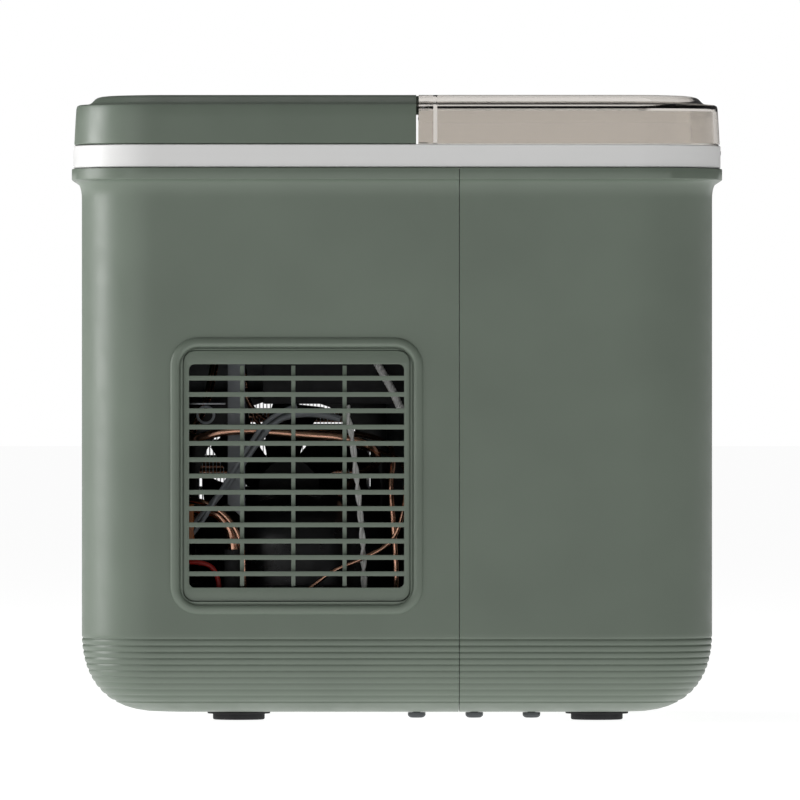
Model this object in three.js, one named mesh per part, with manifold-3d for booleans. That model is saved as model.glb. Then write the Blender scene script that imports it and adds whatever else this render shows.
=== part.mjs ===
// Countertop compressor ice maker, in millimetres: +X is the front (clear lid),
// +Z is up, and the origin is at the middle of the footprint, on the surface that
// the feet stand on.
import * as THREE from 'three';
import { LoftGeometry } from 'three/addons/geometries/LoftGeometry.js';
import { mergeVertices } from 'three/addons/utils/BufferGeometryUtils.js';
import Module from 'manifold-3d';

const wasm = await Module();
wasm.setup();

// ---------------------------------------------------------------- driving sizes
const LENGTH = 300;
const WIDTH = 226;
const HEIGHT = 288;
const GAP = 0.3;
const WALL = 2.5;

// Plan outline: every level of the case is a rounded rectangle set in from the lip.
const LIP_RADIUS = 38;
const RADIUS_PER_INSET = 0.62;
const BODY_INSET = 4.6;
const BAND_INSET = 0.7;
const COVER_INSET = 1.1;
const CORNER_STEPS = 5;

// Levels
const FOOT_HEIGHT = 3.9;
const LIP_TOP = HEIGHT - 33.7;
const LIP_HEIGHT = 5.3;
const BODY_TOP = LIP_TOP - 13.9;
const UNDERCUT_HEIGHT = 36.1;
const UNDERCUT_DEPTH = 36;
const FLOOR_TOP = FOOT_HEIGHT + WALL;
const BAND_BOTTOM = LIP_TOP + GAP;
const BAND_TOP = BAND_BOTTOM + 10.3;
const BAND_DECK = 2.4;
const COVER_BOTTOM = BAND_TOP + 0.4;

// Seams across the case
const HOUSING_SEAM_X = 28.6;
const COVER_FRONT_X = 8.8;
const LID_REAR_X = 10;

// Side vents
const VENT_X = -46;
const VENT_Z = 113;
const VENT_HALF_X = 51.9;
const SLAT_PITCH = 7.47;
const SLAT_THICKNESS = 2.15;
const SLAT_COUNT = 13;
const VENT_HALF_Z = ((SLAT_COUNT + 1) * SLAT_PITCH) / 2 + 5.1;
const VENT_BAR_OFFSETS = [-25, -1.5, 22];
const FLANGE_MARGIN = 3.1;
const STRIP_TOP = VENT_Z + VENT_HALF_Z + 4.6;

// Underside
const FOOT_X = [-73.2, 92.5];
const FOOT_Y = 57;
const FOOT_RADIUS = 12;
const FOOT_STUD_RADIUS = 4;
const SCREW_X = [9.1, 35.7, 62.1];
const SCREW_Y = 68;
const SCREW_RADIUS = 1.8;
const FLOOR_OPENING_X = 70;
const FLOOR_OPENING_Y = 40;
const PLATE_THICKNESS = 1.5;
const PLATE_TOP = FLOOR_TOP + GAP + PLATE_THICKNESS;

// Rear wall
const HOUSING_REAR = -(LENGTH / 2 - BODY_INSET);
const INLET_Y = -40;
const INLET_Z = 60;
const INLET_HALF_Y = 12;
const INLET_HALF_Z = 9;
const INLET_BACK_X = HOUSING_REAR + 22.8;
const DRAIN_Y = 52;
const DRAIN_Z = 26;
const DRAIN_FLOOR_X = HOUSING_REAR + 8.9;
const BOARD_Y0 = -20;
const BOARD_Y1 = 60;
const BOARD_Z0 = LIP_TOP - 79.3;
const BOARD_Z1 = LIP_TOP - 16.3;
const BOARD_STANDOFF = 3.6;

// Lid hinge
const HINGE_X = 12.2;
const HINGE_Z = HEIGHT - 2.4;
const HINGE_PIN_RADIUS = 1;
const KNUCKLE_RADIUS = 2.2;
const KNUCKLE_INNER = 69.7;
const KNUCKLE_OUTER = 84.3;
const BOSS_INNER = 60;
const BOSS_OUTER = 94;
const CHANNEL_DEPTH = 6.7;
const COVER_TOP_FLAT_INSET = 17;

// Tank, basket and ice-making head
const TANK_REAR = 14;
const TANK_FRONT = LENGTH / 2 - 11;
const TANK_HALF_Y = WIDTH / 2 - 12;
const TANK_BOTTOM = 16;
const TANK_TOP = LIP_TOP - 2.3;
const TANK_WALL = 2;
const INSULATION_REAR = TANK_REAR - 6;
const SUMP_TOP = TANK_TOP - 141;
const BASKET_BOTTOM = TANK_TOP - 132;
const BASKET_TOP = TANK_TOP - 37;
const HEAD_X = -22;
const TRAY_AXIS_Z = TANK_TOP - 20;
const TRAY_RADIUS = 20;
const FINGER_COUNT = 9;
const FINGER_PITCH = 15;
const FINGER_RADIUS = 4;
const HEAD_HALF_Y = ((FINGER_COUNT - 1) / 2) * FINGER_PITCH + 6;
const TRAY_HALF_Y = HEAD_HALF_Y + 4;
const BAY_REAR = -60;
const BAY_HALF_Y = TRAY_HALF_Y + 10;
const BAY_BOTTOM = TANK_TOP - 62;
const RAKE_X = 3;
const RAKE_Z = TANK_TOP - 14;
const RAKE_DROP = 27;
const HEADER_Z = TANK_TOP;
const FINGER_BOTTOM = TRAY_AXIS_Z - 14;
const STUB_Z = TANK_TOP - 1;
const STUB_END_X = BAY_REAR - 6;
const SUCTION_STUB_Y = 12;
const BYPASS_STUB_Y = -12;
const HOSE_Z = TANK_TOP - 13;
const HOSE_Y = -40;
const HOSE_RADIUS = 3.2;
const SPIGOT_Y = 40;
const SPIGOT_Z = 26;
const SPIGOT_END_X = TANK_REAR - 8;

// Refrigeration parts behind the tank
const COMPRESSOR_RADIUS = 48;
const COMPRESSOR_FLANGE = 3;
const COMPRESSOR_X = TANK_REAR - 9 - COMPRESSOR_RADIUS - COMPRESSOR_FLANGE;
const COMPRESSOR_Y = -25;
const FAN_X = -51;
const FAN_Y = 56.5;
const FAN_Z = 105.3;
const FAN_SIZE = 92;
const FAN_DEPTH = 25;
const FAN_BORE = 43.5;
const COIL_RADIUS = 3;
const COIL_Y = 87;
const COIL_ROWS = 4;
const COIL_PITCH = 24;
const COIL_BOTTOM = 68;
const COIL_LEFT = -106;
const COIL_RIGHT = -10;
const FINS_X0 = COIL_LEFT + 3;
const FINS_X1 = COIL_RIGHT - 3;
const FINS_DEPTH = 22;
const DRIER_X = -122;
const DRIER_Y = 66;
const PUMP_X = COMPRESSOR_X - COMPRESSOR_RADIUS - 12;
const PUMP_Y = -66;

// Buttons on the rear cover
const BUTTON_X = -35;
const BUTTON_Y = 18;
const BUTTON_RADIUS = 7;
const PANEL_THICKNESS = 1;
const PANEL_X0 = -75;
const PANEL_X1 = -15;
const PANEL_HALF_Y = 45;

// ---------------------------------------------------------------- solid helpers
function solid(geometry) {
  const bare = new THREE.BufferGeometry();
  bare.setAttribute('position', geometry.getAttribute('position'));
  bare.setIndex(geometry.getIndex());
  const merged = mergeVertices(bare, 1e-4);
  const corners = merged.getIndex().array;
  const kept = [];
  for (let start = 0; start < corners.length; start += 3) {
    const [a, b, c] = corners.slice(start, start + 3);
    if (a !== b && b !== c && c !== a) {
      kept.push(a, b, c);
    }
  }
  const mesh = new wasm.Mesh({
    numProp: 3,
    vertProperties: new Float32Array(merged.getAttribute('position').array),
    triVerts: new Uint32Array(kept),
  });
  return new wasm.Manifold(mesh);
}

function geometryOf(body) {
  const mesh = body.getMesh();
  const geometry = new THREE.BufferGeometry();
  geometry.setAttribute('position', new THREE.BufferAttribute(mesh.vertProperties, 3));
  geometry.setIndex(new THREE.BufferAttribute(mesh.triVerts, 1));
  geometry.computeVertexNormals();
  return geometry;
}

function joined(bodies) {
  return bodies.reduce((whole, body) => whole.add(body));
}

function cut(body, tools) {
  return tools.reduce((left, tool) => left.subtract(tool), body);
}

// One body on each side of the middle plane, from the body on the -Y side.
function bothSides(body) {
  return [body, body.mirror([0, 1, 0])];
}

function box(x0, x1, y0, y1, z0, z1) {
  const geometry = new THREE.BoxGeometry(x1 - x0, y1 - y0, z1 - z0);
  geometry.translate((x0 + x1) / 2, (y0 + y1) / 2, (z0 + z1) / 2);
  return solid(geometry);
}

function rod(radius, start, end, sides = 16) {
  const from = new THREE.Vector3(...start);
  const to = new THREE.Vector3(...end);
  const direction = to.clone().sub(from).normalize();
  const geometry = new THREE.CylinderGeometry(radius, radius, from.distanceTo(to), sides);
  geometry.applyQuaternion(
    new THREE.Quaternion().setFromUnitVectors(new THREE.Vector3(0, 1, 0), direction),
  );
  geometry.translate(...from.add(to).multiplyScalar(0.5).toArray());
  return solid(geometry);
}

// A body of revolution about a vertical axis, from [radius, z] points, bottom first.
function turned(profile, x, y, sides = 24) {
  const points = profile.map(([radius, z]) => new THREE.Vector2(radius, z));
  const geometry = new THREE.LatheGeometry(points, sides);
  geometry.rotateX(Math.PI / 2);
  geometry.translate(x, y, 0);
  return solid(geometry);
}

function circlePoints(radius, sides) {
  const points = [];
  for (let side = 0; side < sides; side += 1) {
    const angle = (side / sides) * 2 * Math.PI;
    points.push(new THREE.Vector2(radius * Math.cos(angle), radius * Math.sin(angle)));
  }
  return points;
}

function sweep(path, radius, sides, steps) {
  const section = new THREE.Shape(circlePoints(radius, sides));
  return solid(new THREE.ExtrudeGeometry(section, { steps, extrudePath: path }));
}

function tube(points, radius, sides = 8, steps = 24) {
  const path = new THREE.CatmullRomCurve3(points.map((point) => new THREE.Vector3(...point)));
  return sweep(path, radius, sides, steps);
}

// A rounded rectangle at height z, counterclockwise from above.
function ring(halfX, halfY, radius, z, centreX = 0, centreY = 0, steps = CORNER_STEPS) {
  const points = [];
  const corners = [[1, 1], [-1, 1], [-1, -1], [1, -1]];
  corners.forEach(([sideX, sideY], quarter) => {
    for (let step = 0; step <= steps; step += 1) {
      const angle = ((quarter + step / steps) * Math.PI) / 2;
      points.push(new THREE.Vector3(
        centreX + sideX * (halfX - radius) + radius * Math.cos(angle),
        centreY + sideY * (halfY - radius) + radius * Math.sin(angle),
        z,
      ));
    }
  });
  return points;
}

function loft(sections) {
  return solid(new LoftGeometry(sections, { capStart: true, capEnd: true }));
}

// An upright block with rounded corners between two levels.
function block(x0, x1, y0, y1, z0, z1, radius, steps = 3) {
  const halfX = (x1 - x0) / 2;
  const halfY = (y1 - y0) / 2;
  const levels = [z0, z1].map((z) => (
    ring(halfX, halfY, radius, z, (x0 + x1) / 2, (y0 + y1) / 2, steps)
  ));
  return loft(levels);
}

// Rounded rectangles standing in the XZ plane, each [halfX, halfZ, radius, y], y falling.
function sidePlate(centreX, centreZ, levels, steps = 3) {
  const sections = levels.map(([halfX, halfZ, radius, y]) => (
    ring(halfX, halfZ, radius, -y, centreX, centreZ, steps)
  ));
  return loft(sections).rotate([90, 0, 0]);
}

// The [inset, z] profile moved into the material's inner side by a distance.
function offsetProfile(profile, distance) {
  const normals = profile.slice(1).map(([inset, z], index) => (
    new THREE.Vector2(z - profile[index][1], profile[index][0] - inset).normalize()
  ));
  return profile.map(([inset, z], index) => {
    const before = normals[Math.max(index - 1, 0)];
    const after = normals[Math.min(index, normals.length - 1)];
    const mitre = before.clone().add(after).normalize();
    const reach = distance / mitre.dot(before);
    return [inset + mitre.x * reach, z + mitre.y * reach];
  });
}

// The case outline at each [inset, z]; a wall thickness gives the outline of its inside.
function caseLoft(profile, wall = 0) {
  return loft(profile.map(([inset, z]) => {
    const radius = LIP_RADIUS - RADIUS_PER_INSET * (inset - wall) - wall;
    return ring(LENGTH / 2 - inset, WIDTH / 2 - inset, radius, z);
  }));
}

// ---------------------------------------------------------------- scene graph
const iceMaker = new THREE.Group();

const COLOURS = {
  sage: 0x6f7a6e,
  white: 0xe9e9e6,
  smoke: 0x8f8a7d,
  black: 0x1c1d1e,
  darkGrey: 0x3a3d40,
  steel: 0xb9bcbe,
  copper: 0xb87348,
  board: 0x2f5d3a,
  pale: 0xd9dadb,
};

function finish(colour, roughness, metalness) {
  return new THREE.MeshStandardMaterial({ color: COLOURS[colour], roughness, metalness });
}

function assembly(x = 0, y = 0, z = 0) {
  const group = new THREE.Group();
  group.position.set(x, y, z);
  iceMaker.add(group);
  return group;
}

// Adds a body given in the object's frame to a group, in the group's own frame.
function addPart(group, name, body, material) {
  const geometry = geometryOf(body);
  geometry.translate(-group.position.x, -group.position.y, -group.position.z);
  const mesh = new THREE.Mesh(geometry, material);
  mesh.name = name;
  group.add(mesh);
}

// Adds a body given about its own origin at each place, one mesh per copy.
function addCopies(group, prefix, body, material, places) {
  places.forEach(([x, y, z], index) => {
    const mesh = new THREE.Mesh(geometryOf(body), material);
    mesh.name = `${prefix}_${index + 1}`;
    mesh.position.set(x, y, z);
    group.add(mesh);
  });
}

// ---------------------------------------------------------------- housing
const FOOT_PLACES = [-FOOT_Y, FOOT_Y].flatMap((y) => FOOT_X.map((x) => [x, y, 0]));
const SCREW_PLACES = [-SCREW_Y, SCREW_Y].flatMap((y) => SCREW_X.map((x) => [x, y, 0]));

function undercutProfile() {
  const top = FOOT_HEIGHT + UNDERCUT_HEIGHT;
  const curve = new THREE.CubicBezierCurve(
    new THREE.Vector2(BODY_INSET + UNDERCUT_DEPTH, FOOT_HEIGHT),
    new THREE.Vector2(BODY_INSET + 10, FOOT_HEIGHT),
    new THREE.Vector2(BODY_INSET, FOOT_HEIGHT + 16.1),
    new THREE.Vector2(BODY_INSET, top),
  );
  return curve.getPoints(6).map((point) => [point.x, point.y]);
}

function lipProfile() {
  const flare = new THREE.QuadraticBezierCurve(
    new THREE.Vector2(BODY_INSET, BODY_TOP),
    new THREE.Vector2(BODY_INSET, LIP_TOP - LIP_HEIGHT),
    new THREE.Vector2(0, LIP_TOP - LIP_HEIGHT),
  );
  return [...flare.getPoints(3).map((point) => [point.x, point.y]), [0, LIP_TOP]];
}

function housingShell() {
  const outside = caseLoft([...undercutProfile(), ...lipProfile()]);
  const hollow = [...undercutProfile(), [BODY_INSET, LIP_TOP + 1]];
  const inside = caseLoft(offsetProfile(hollow, WALL), WALL);
  const floorHoles = [
    ...FOOT_PLACES.map(([x, y]) => [x, y, FOOT_STUD_RADIUS]),
    ...SCREW_PLACES.map(([x, y]) => [x, y, SCREW_RADIUS]),
  ].map(([x, y, radius]) => (
    rod(radius + 2 * GAP, [x, y, FOOT_HEIGHT - 1], [x, y, FLOOR_TOP + 1], 10)
  ));
  const opening = block(
    -FLOOR_OPENING_X, FLOOR_OPENING_X, -FLOOR_OPENING_Y, FLOOR_OPENING_Y, 0, FLOOR_TOP + 1, 10,
  );
  return cut(outside, [inside, opening, ...floorHoles]);
}

function ventBead() {
  const outerX = VENT_HALF_X + 6;
  const outerZ = VENT_HALF_Z + 6;
  const innerX = VENT_HALF_X + 1;
  const innerZ = VENT_HALF_Z + 1;
  const wallY = -(WIDTH / 2 - BODY_INSET);
  const outer = sidePlate(VENT_X, VENT_Z, [
    [outerX, outerZ, 13, wallY + 1.2],
    [outerX, outerZ, 13, wallY - 0.8],
    [outerX - 0.9, outerZ - 0.9, 12.1, wallY - 1.6],
  ]);
  const inner = sidePlate(VENT_X, VENT_Z, [
    [innerX, innerZ, 8, wallY + 1.5],
    [innerX, innerZ, 8, wallY - 0.8],
    [innerX + 1, innerZ + 1, 9, wallY - 1.8],
  ]);
  return outer.subtract(inner);
}

function ventHole() {
  const wallY = -(WIDTH / 2 - BODY_INSET);
  const halfX = VENT_HALF_X + GAP;
  const halfZ = VENT_HALF_Z + GAP;
  return sidePlate(VENT_X, VENT_Z, [
    [halfX, halfZ, 5.6, wallY + WALL + 1],
    [halfX, halfZ, 5.6, wallY - 1],
  ]);
}

function boardPosts() {
  const heights = [BOARD_Z0 + 6, BOARD_Z1 - 6];
  return [BOARD_Y0 + 6, BOARD_Y1 - 6].flatMap((y) => heights.map((z) => (
    rod(3, [HOUSING_REAR + WALL - 0.5, y, z], [HOUSING_REAR + WALL + BOARD_STANDOFF, y, z], 8)
  )));
}

// A rod along the drain's axis, front to rear.
function drainRod(radius, x0, x1, sides = 16) {
  return rod(radius, [x0, DRAIN_Y, DRAIN_Z], [x1, DRAIN_Y, DRAIN_Z], sides);
}

function rearHousing(shell) {
  const half = shell.intersect(box(
    -LENGTH, HOUSING_SEAM_X - GAP / 2, -WIDTH, WIDTH, 0, HEIGHT,
  ));
  const drainBoss = drainRod(14, DRAIN_FLOOR_X, DRAIN_FLOOR_X + 3.5, 20);
  const added = joined([half, ...bothSides(ventBead()), drainBoss, ...boardPosts()]);
  const inletHole = box(
    -LENGTH / 2, HOUSING_REAR + WALL + 1,
    INLET_Y - INLET_HALF_Y - GAP, INLET_Y + INLET_HALF_Y + GAP,
    INLET_Z - INLET_HALF_Z - GAP, INLET_Z + INLET_HALF_Z + GAP,
  );
  return cut(added, [
    ...bothSides(ventHole()),
    inletHole,
    drainRod(11, -LENGTH / 2, DRAIN_FLOOR_X, 20),
    drainRod(6 + GAP, -LENGTH / 2, DRAIN_FLOOR_X + 5),
  ]);
}

function frontHousing(shell) {
  return shell.intersect(box(HOUSING_SEAM_X + GAP / 2, LENGTH, -WIDTH, WIDTH, 0, HEIGHT));
}

function basePlate() {
  const halfX = LENGTH / 2 - BODY_INSET - UNDERCUT_DEPTH - 0.8;
  const halfY = WIDTH / 2 - BODY_INSET - UNDERCUT_DEPTH - 0.8;
  const plate = block(
    -halfX, halfX, -halfY, halfY, FLOOR_TOP + GAP, PLATE_TOP, 11,
  );
  return cut(plate, SCREW_PLACES.map(([x, y]) => (
    rod(SCREW_RADIUS + 2 * GAP, [x, y, FLOOR_TOP], [x, y, FLOOR_TOP + 3], 8)
  )));
}

function foot() {
  return turned([
    [0, 0], [FOOT_RADIUS - 0.6, 0], [FOOT_RADIUS, 0.6], [FOOT_RADIUS, 2.7],
    [FOOT_RADIUS + 2.5, 2.7], [FOOT_RADIUS + 2.5, FOOT_HEIGHT - GAP],
    [FOOT_STUD_RADIUS, FOOT_HEIGHT - GAP], [FOOT_STUD_RADIUS, FLOOR_TOP - GAP],
    [0, FLOOR_TOP - GAP],
  ], 0, 0, 10);
}

function baseScrew() {
  return turned([
    [0, 1.1], [2.8, 1.1], [4.1, 2.2], [4.1, FOOT_HEIGHT - GAP],
    [SCREW_RADIUS, FOOT_HEIGHT - GAP], [SCREW_RADIUS, PLATE_TOP + 2.2], [0, PLATE_TOP + 2.8],
  ], 0, 0, 8);
}

function ventGrille() {
  const outerY = -(WIDTH / 2 - BODY_INSET) + 0.4;
  const flangeY = -(WIDTH / 2 - BODY_INSET) + WALL + GAP;
  const innerY = flangeY + 1.2;
  const panel = sidePlate(VENT_X, VENT_Z, [
    [VENT_HALF_X, VENT_HALF_Z, 5.3, flangeY + 0.1],
    [VENT_HALF_X, VENT_HALF_Z, 5.3, outerY],
  ]);
  const flange = sidePlate(VENT_X, VENT_Z, [
    [VENT_HALF_X + FLANGE_MARGIN, VENT_HALF_Z + FLANGE_MARGIN, 6, innerY],
    [VENT_HALF_X + FLANGE_MARGIN, VENT_HALF_Z + FLANGE_MARGIN, 6, flangeY],
  ]);
  const openHalfX = VENT_HALF_X - 2.6;
  const slots = [];
  for (let row = 0; row <= SLAT_COUNT; row += 1) {
    const z = VENT_Z + (row - SLAT_COUNT / 2) * SLAT_PITCH;
    const halfZ = (SLAT_PITCH - SLAT_THICKNESS) / 2;
    slots.push(box(
      VENT_X - openHalfX, VENT_X + openHalfX, outerY - 1, innerY + 1, z - halfZ, z + halfZ,
    ));
  }
  const barHeight = (SLAT_COUNT / 2) * SLAT_PITCH + 2;
  const bars = VENT_BAR_OFFSETS.map((offset) => box(
    VENT_X + offset - 0.95, VENT_X + offset + 0.95, flangeY - 0.3, innerY,
    VENT_Z - barHeight, VENT_Z + barHeight,
  ));
  return joined([cut(panel.add(flange), slots), ...bars]);
}

// ---------------------------------------------------------------- top of the case
function coverProfile() {
  return [
    [COVER_INSET, COVER_BOTTOM],
    [COVER_INSET + 1, HEIGHT - 5.7],
    [COVER_INSET + 2, HEIGHT - 4.4],
    [COVER_INSET + 7.2, HEIGHT - 3.7],
    [COVER_INSET + 9.6, HEIGHT - 1.4],
    [COVER_INSET + 12, HEIGHT - 0.4],
    [COVER_INSET + COVER_TOP_FLAT_INSET, HEIGHT],
  ];
}

function coverHollow() {
  const profile = coverProfile();
  const inner = offsetProfile(profile, WALL);
  inner[0] = [COVER_INSET + WALL, COVER_BOTTOM - 1];
  inner[inner.length - 1] = [COVER_INSET + COVER_TOP_FLAT_INSET + 1, HEIGHT - WALL];
  return caseLoft(inner, WALL);
}

function slice(body, x0, x1) {
  return body.intersect(box(x0, x1, -WIDTH, WIDTH, 0, HEIGHT + 10));
}

function level(body, z0, z1) {
  return body.intersect(box(-LENGTH, LENGTH, -WIDTH, WIDTH, z0, z1));
}

function topFrame() {
  const outer = caseLoft([[BAND_INSET, BAND_BOTTOM], [BAND_INSET, BAND_TOP]]);
  const deckTop = BAND_BOTTOM + BAND_DECK;
  const well = caseLoft([[BAND_INSET + 4, deckTop], [BAND_INSET + 4, BAND_TOP + 1]]);
  const mouth = block(
    BAY_REAR + 6, TANK_FRONT - 6, -(TANK_HALF_Y - 5), TANK_HALF_Y - 5,
    BAND_BOTTOM - 1, deckTop + 1, 24, CORNER_STEPS,
  );
  return cut(outer, [well, mouth]);
}

function knuckleArm() {
  const arm = box(
    COVER_FRONT_X - WALL - 0.3, HINGE_X, -KNUCKLE_OUTER, -KNUCKLE_INNER,
    HINGE_Z - KNUCKLE_RADIUS, HINGE_Z + KNUCKLE_RADIUS,
  );
  return arm.add(hingeRod(KNUCKLE_RADIUS, KNUCKLE_INNER, KNUCKLE_OUTER));
}

// A rod along the hinge axis on the -Y side, between two distances from the middle.
function hingeRod(radius, inner, outer) {
  return rod(radius, [HINGE_X, -outer, HINGE_Z], [HINGE_X, -inner, HINGE_Z], 10);
}

function rearCover() {
  const outside = slice(caseLoft(coverProfile()), -LENGTH, COVER_FRONT_X);
  const inside = slice(coverHollow(), -LENGTH, COVER_FRONT_X - WALL);
  const shell = outside.subtract(inside);
  const posts = [-58, -16].flatMap((x) => [-30, 30].map((y) => (
    rod(2, [x, y, HEIGHT - 6.1], [x, y, HEIGHT - WALL + 0.5], 8)
  )));
  const recess = block(
    PANEL_X0 - GAP, PANEL_X1 + GAP, -PANEL_HALF_Y - GAP, PANEL_HALF_Y + GAP,
    HEIGHT - PANEL_THICKNESS - 0.4, HEIGHT + 1, 6 + GAP,
  );
  const buttonHoles = [-BUTTON_Y, BUTTON_Y].map((y) => (
    rod(BUTTON_RADIUS + 2 * GAP, [BUTTON_X, y, HEIGHT - 5], [BUTTON_X, y, HEIGHT + 1], 16)
  ));
  const pinHole = hingeRod(HINGE_PIN_RADIUS + 0.25, KNUCKLE_INNER - 1, KNUCKLE_OUTER + 1);
  return cut(joined([shell, ...posts, ...bothSides(knuckleArm())]), [
    recess, ...buttonHoles, ...bothSides(pinHole),
  ]);
}

function controlPanel() {
  const plate = block(
    PANEL_X0, PANEL_X1, -PANEL_HALF_Y, PANEL_HALF_Y,
    HEIGHT - PANEL_THICKNESS - 0.1, HEIGHT - 0.1, 6,
  );
  return cut(plate, [-BUTTON_Y, BUTTON_Y].map((y) => (
    rod(BUTTON_RADIUS + 2 * GAP, [BUTTON_X, y, HEIGHT - 3], [BUTTON_X, y, HEIGHT + 1], 16)
  )));
}

function pushButton(y) {
  return turned([
    [0, HEIGHT - 5.1], [2, HEIGHT - 5.1], [2, HEIGHT - 4.4], [8.5, HEIGHT - 4.4],
    [8.5, HEIGHT - WALL - GAP], [BUTTON_RADIUS, HEIGHT - WALL - GAP],
    [BUTTON_RADIUS, HEIGHT - 0.5], [BUTTON_RADIUS - 0.4, HEIGHT - 0.1], [0, HEIGHT - 0.1],
  ], BUTTON_X, y, 14);
}

function buttonBoard() {
  return box(-62, -12, -34, 34, HEIGHT - 7.6, HEIGHT - 6.4);
}

function frontLid() {
  const outside = slice(caseLoft(coverProfile()), LID_REAR_X, LENGTH);
  const hollow = coverHollow();
  const webFront = LID_REAR_X + CHANNEL_DEPTH + 1.8;
  const rearEdge = box(-2, 2, -WIDTH, WIDTH, 0, 4)
    .rotate([0, -45, 0])
    .translate([LID_REAR_X + 0.4, 0, HEIGHT - 0.4]);
  const trayHousing = block(24, 112, -48, 48, HEIGHT - 6.9, HEIGHT - 1, 10);
  const tray = loft([
    ring(37.5, 42, 6, HEIGHT - 4.4, 67.5, 0, 3),
    ring(41, 45, 9, HEIGHT + 0.1, 68, 0, 3),
  ]);
  const notch = box(
    LID_REAR_X - 1, LID_REAR_X + 5.2, -KNUCKLE_OUTER - GAP, -KNUCKLE_INNER + GAP,
    HEIGHT - 8, HEIGHT + 1,
  );
  const bosses = [[BOSS_INNER, KNUCKLE_INNER - 0.5], [KNUCKLE_OUTER + 0.5, BOSS_OUTER]];
  const shell = cut(outside, [
    slice(hollow, webFront, LENGTH),
    slice(hollow, 0, LID_REAR_X + CHANNEL_DEPTH),
    rearEdge,
  ]);
  const withBosses = joined([
    shell, trayHousing,
    ...bosses.flatMap(([inner, outer]) => bothSides(hingeRod(KNUCKLE_RADIUS, inner, outer))),
  ]);
  return cut(withBosses, [
    tray,
    ...bothSides(notch),
    ...bothSides(hingeRod(HINGE_PIN_RADIUS + GAP, BOSS_INNER - 1, BOSS_OUTER + 1)),
  ]);
}

function frontBadge() {
  const face = LENGTH / 2 - BAND_INSET + GAP;
  return block(face, face + 1.6, -15, 15, BAND_TOP - 3, BAND_TOP - 0.8, 0.7, 2);
}

// ---------------------------------------------------------------- tank and basket
function tankBody(offset, bottom) {
  const levels = [
    [TANK_BOTTOM, 15, 13, 20],
    [TANK_BOTTOM + 8, 6, 6, 26],
    [TANK_BOTTOM + 28, 0, 0, 30],
    [TANK_TOP + 3, 0, 0, 30],
  ];
  return loft(levels.map(([z, insetX, insetY, radius], index) => {
    const x0 = TANK_REAR + offset;
    const x1 = TANK_FRONT - insetX - offset;
    const halfY = TANK_HALF_Y - insetY - offset;
    const level = index === 0 ? z + bottom : z;
    return ring((x1 - x0) / 2, halfY, radius - offset, level, (x0 + x1) / 2, 0, 4);
  }));
}

function bayBody(offset, top) {
  return block(
    BAY_REAR + offset, TANK_REAR + 20, -BAY_HALF_Y + offset, BAY_HALF_Y - offset,
    BAY_BOTTOM + offset, top, 8 - offset,
  );
}

function tankRim() {
  const front = block(
    TANK_REAR - 3, TANK_FRONT + 2.5, -TANK_HALF_Y - 2.5, TANK_HALF_Y + 2.5,
    TANK_TOP - 0.2, TANK_TOP + 2, 31, 4,
  );
  const rear = block(
    BAY_REAR - 3, TANK_REAR + 22, -BAY_HALF_Y - 3, BAY_HALF_Y + 3, TANK_TOP - 0.2, TANK_TOP + 2, 10,
  );
  return front.add(rear);
}

function spigotRod(radius, x0, x1) {
  return rod(radius, [x0, SPIGOT_Y, SPIGOT_Z], [x1, SPIGOT_Y, SPIGOT_Z], 10);
}

function tank() {
  const outside = level(tankBody(0, 0), 0, TANK_TOP);
  const legs = [34, 100].flatMap((x) => [-50, 50].map((y) => (
    rod(5, [x, y, PLATE_TOP + GAP], [x, y, TANK_BOTTOM + 1], 12)
  )));
  const basketLedge = box(
    50, 110, -TANK_HALF_Y + 1, -TANK_HALF_Y + 13, BASKET_BOTTOM - 8, BASKET_BOTTOM - GAP,
  );
  const holderLedge = box(
    HEAD_X - 14, HEAD_X + 14, -BAY_HALF_Y + 1, -BAY_HALF_Y + 6, TANK_TOP - 8.4, TANK_TOP - 6.5,
  );
  const spigot = spigotRod(3, SPIGOT_END_X, TANK_REAR + 1);
  const shell = cut(joined([outside, bayBody(0, TANK_TOP), tankRim(), ...legs, spigot]), [
    tankBody(TANK_WALL, TANK_WALL),
    bayBody(TANK_WALL, TANK_TOP + 3),
  ]);
  const ledges = [...bothSides(basketLedge), ...bothSides(holderLedge)];
  const axles = [
    [3.4, HEAD_X, TRAY_AXIS_Z],
    [2.4, RAKE_X, RAKE_Z],
  ].map(([radius, x, z]) => rod(radius, [x, -BAY_HALF_Y - 1, z], [x, BAY_HALF_Y + 1, z], 12));
  const pipeNotch = box(BAY_REAR - 5, BAY_REAR + 5, -20, 24, TANK_TOP - 5, TANK_TOP + 3);
  const hoseHole = rod(
    HOSE_RADIUS + 1, [BAY_REAR - 5, HOSE_Y, HOSE_Z], [BAY_REAR + 5, HOSE_Y, HOSE_Z], 12,
  );
  const drainBore = spigotRod(1.8, SPIGOT_END_X - 1, TANK_REAR + 5);
  return cut(joined([shell, ...ledges]), [...axles, pipeNotch, hoseHole, drainBore]);
}

function tankInsulation() {
  const back = box(INSULATION_REAR, TANK_REAR - GAP, -70, 70, 36, BAY_BOTTOM - GAP);
  const underBay = box(-62, TANK_REAR - GAP, -72, 34, BAY_BOTTOM - 44, BAY_BOTTOM - GAP);
  return back.add(underBay);
}

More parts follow.
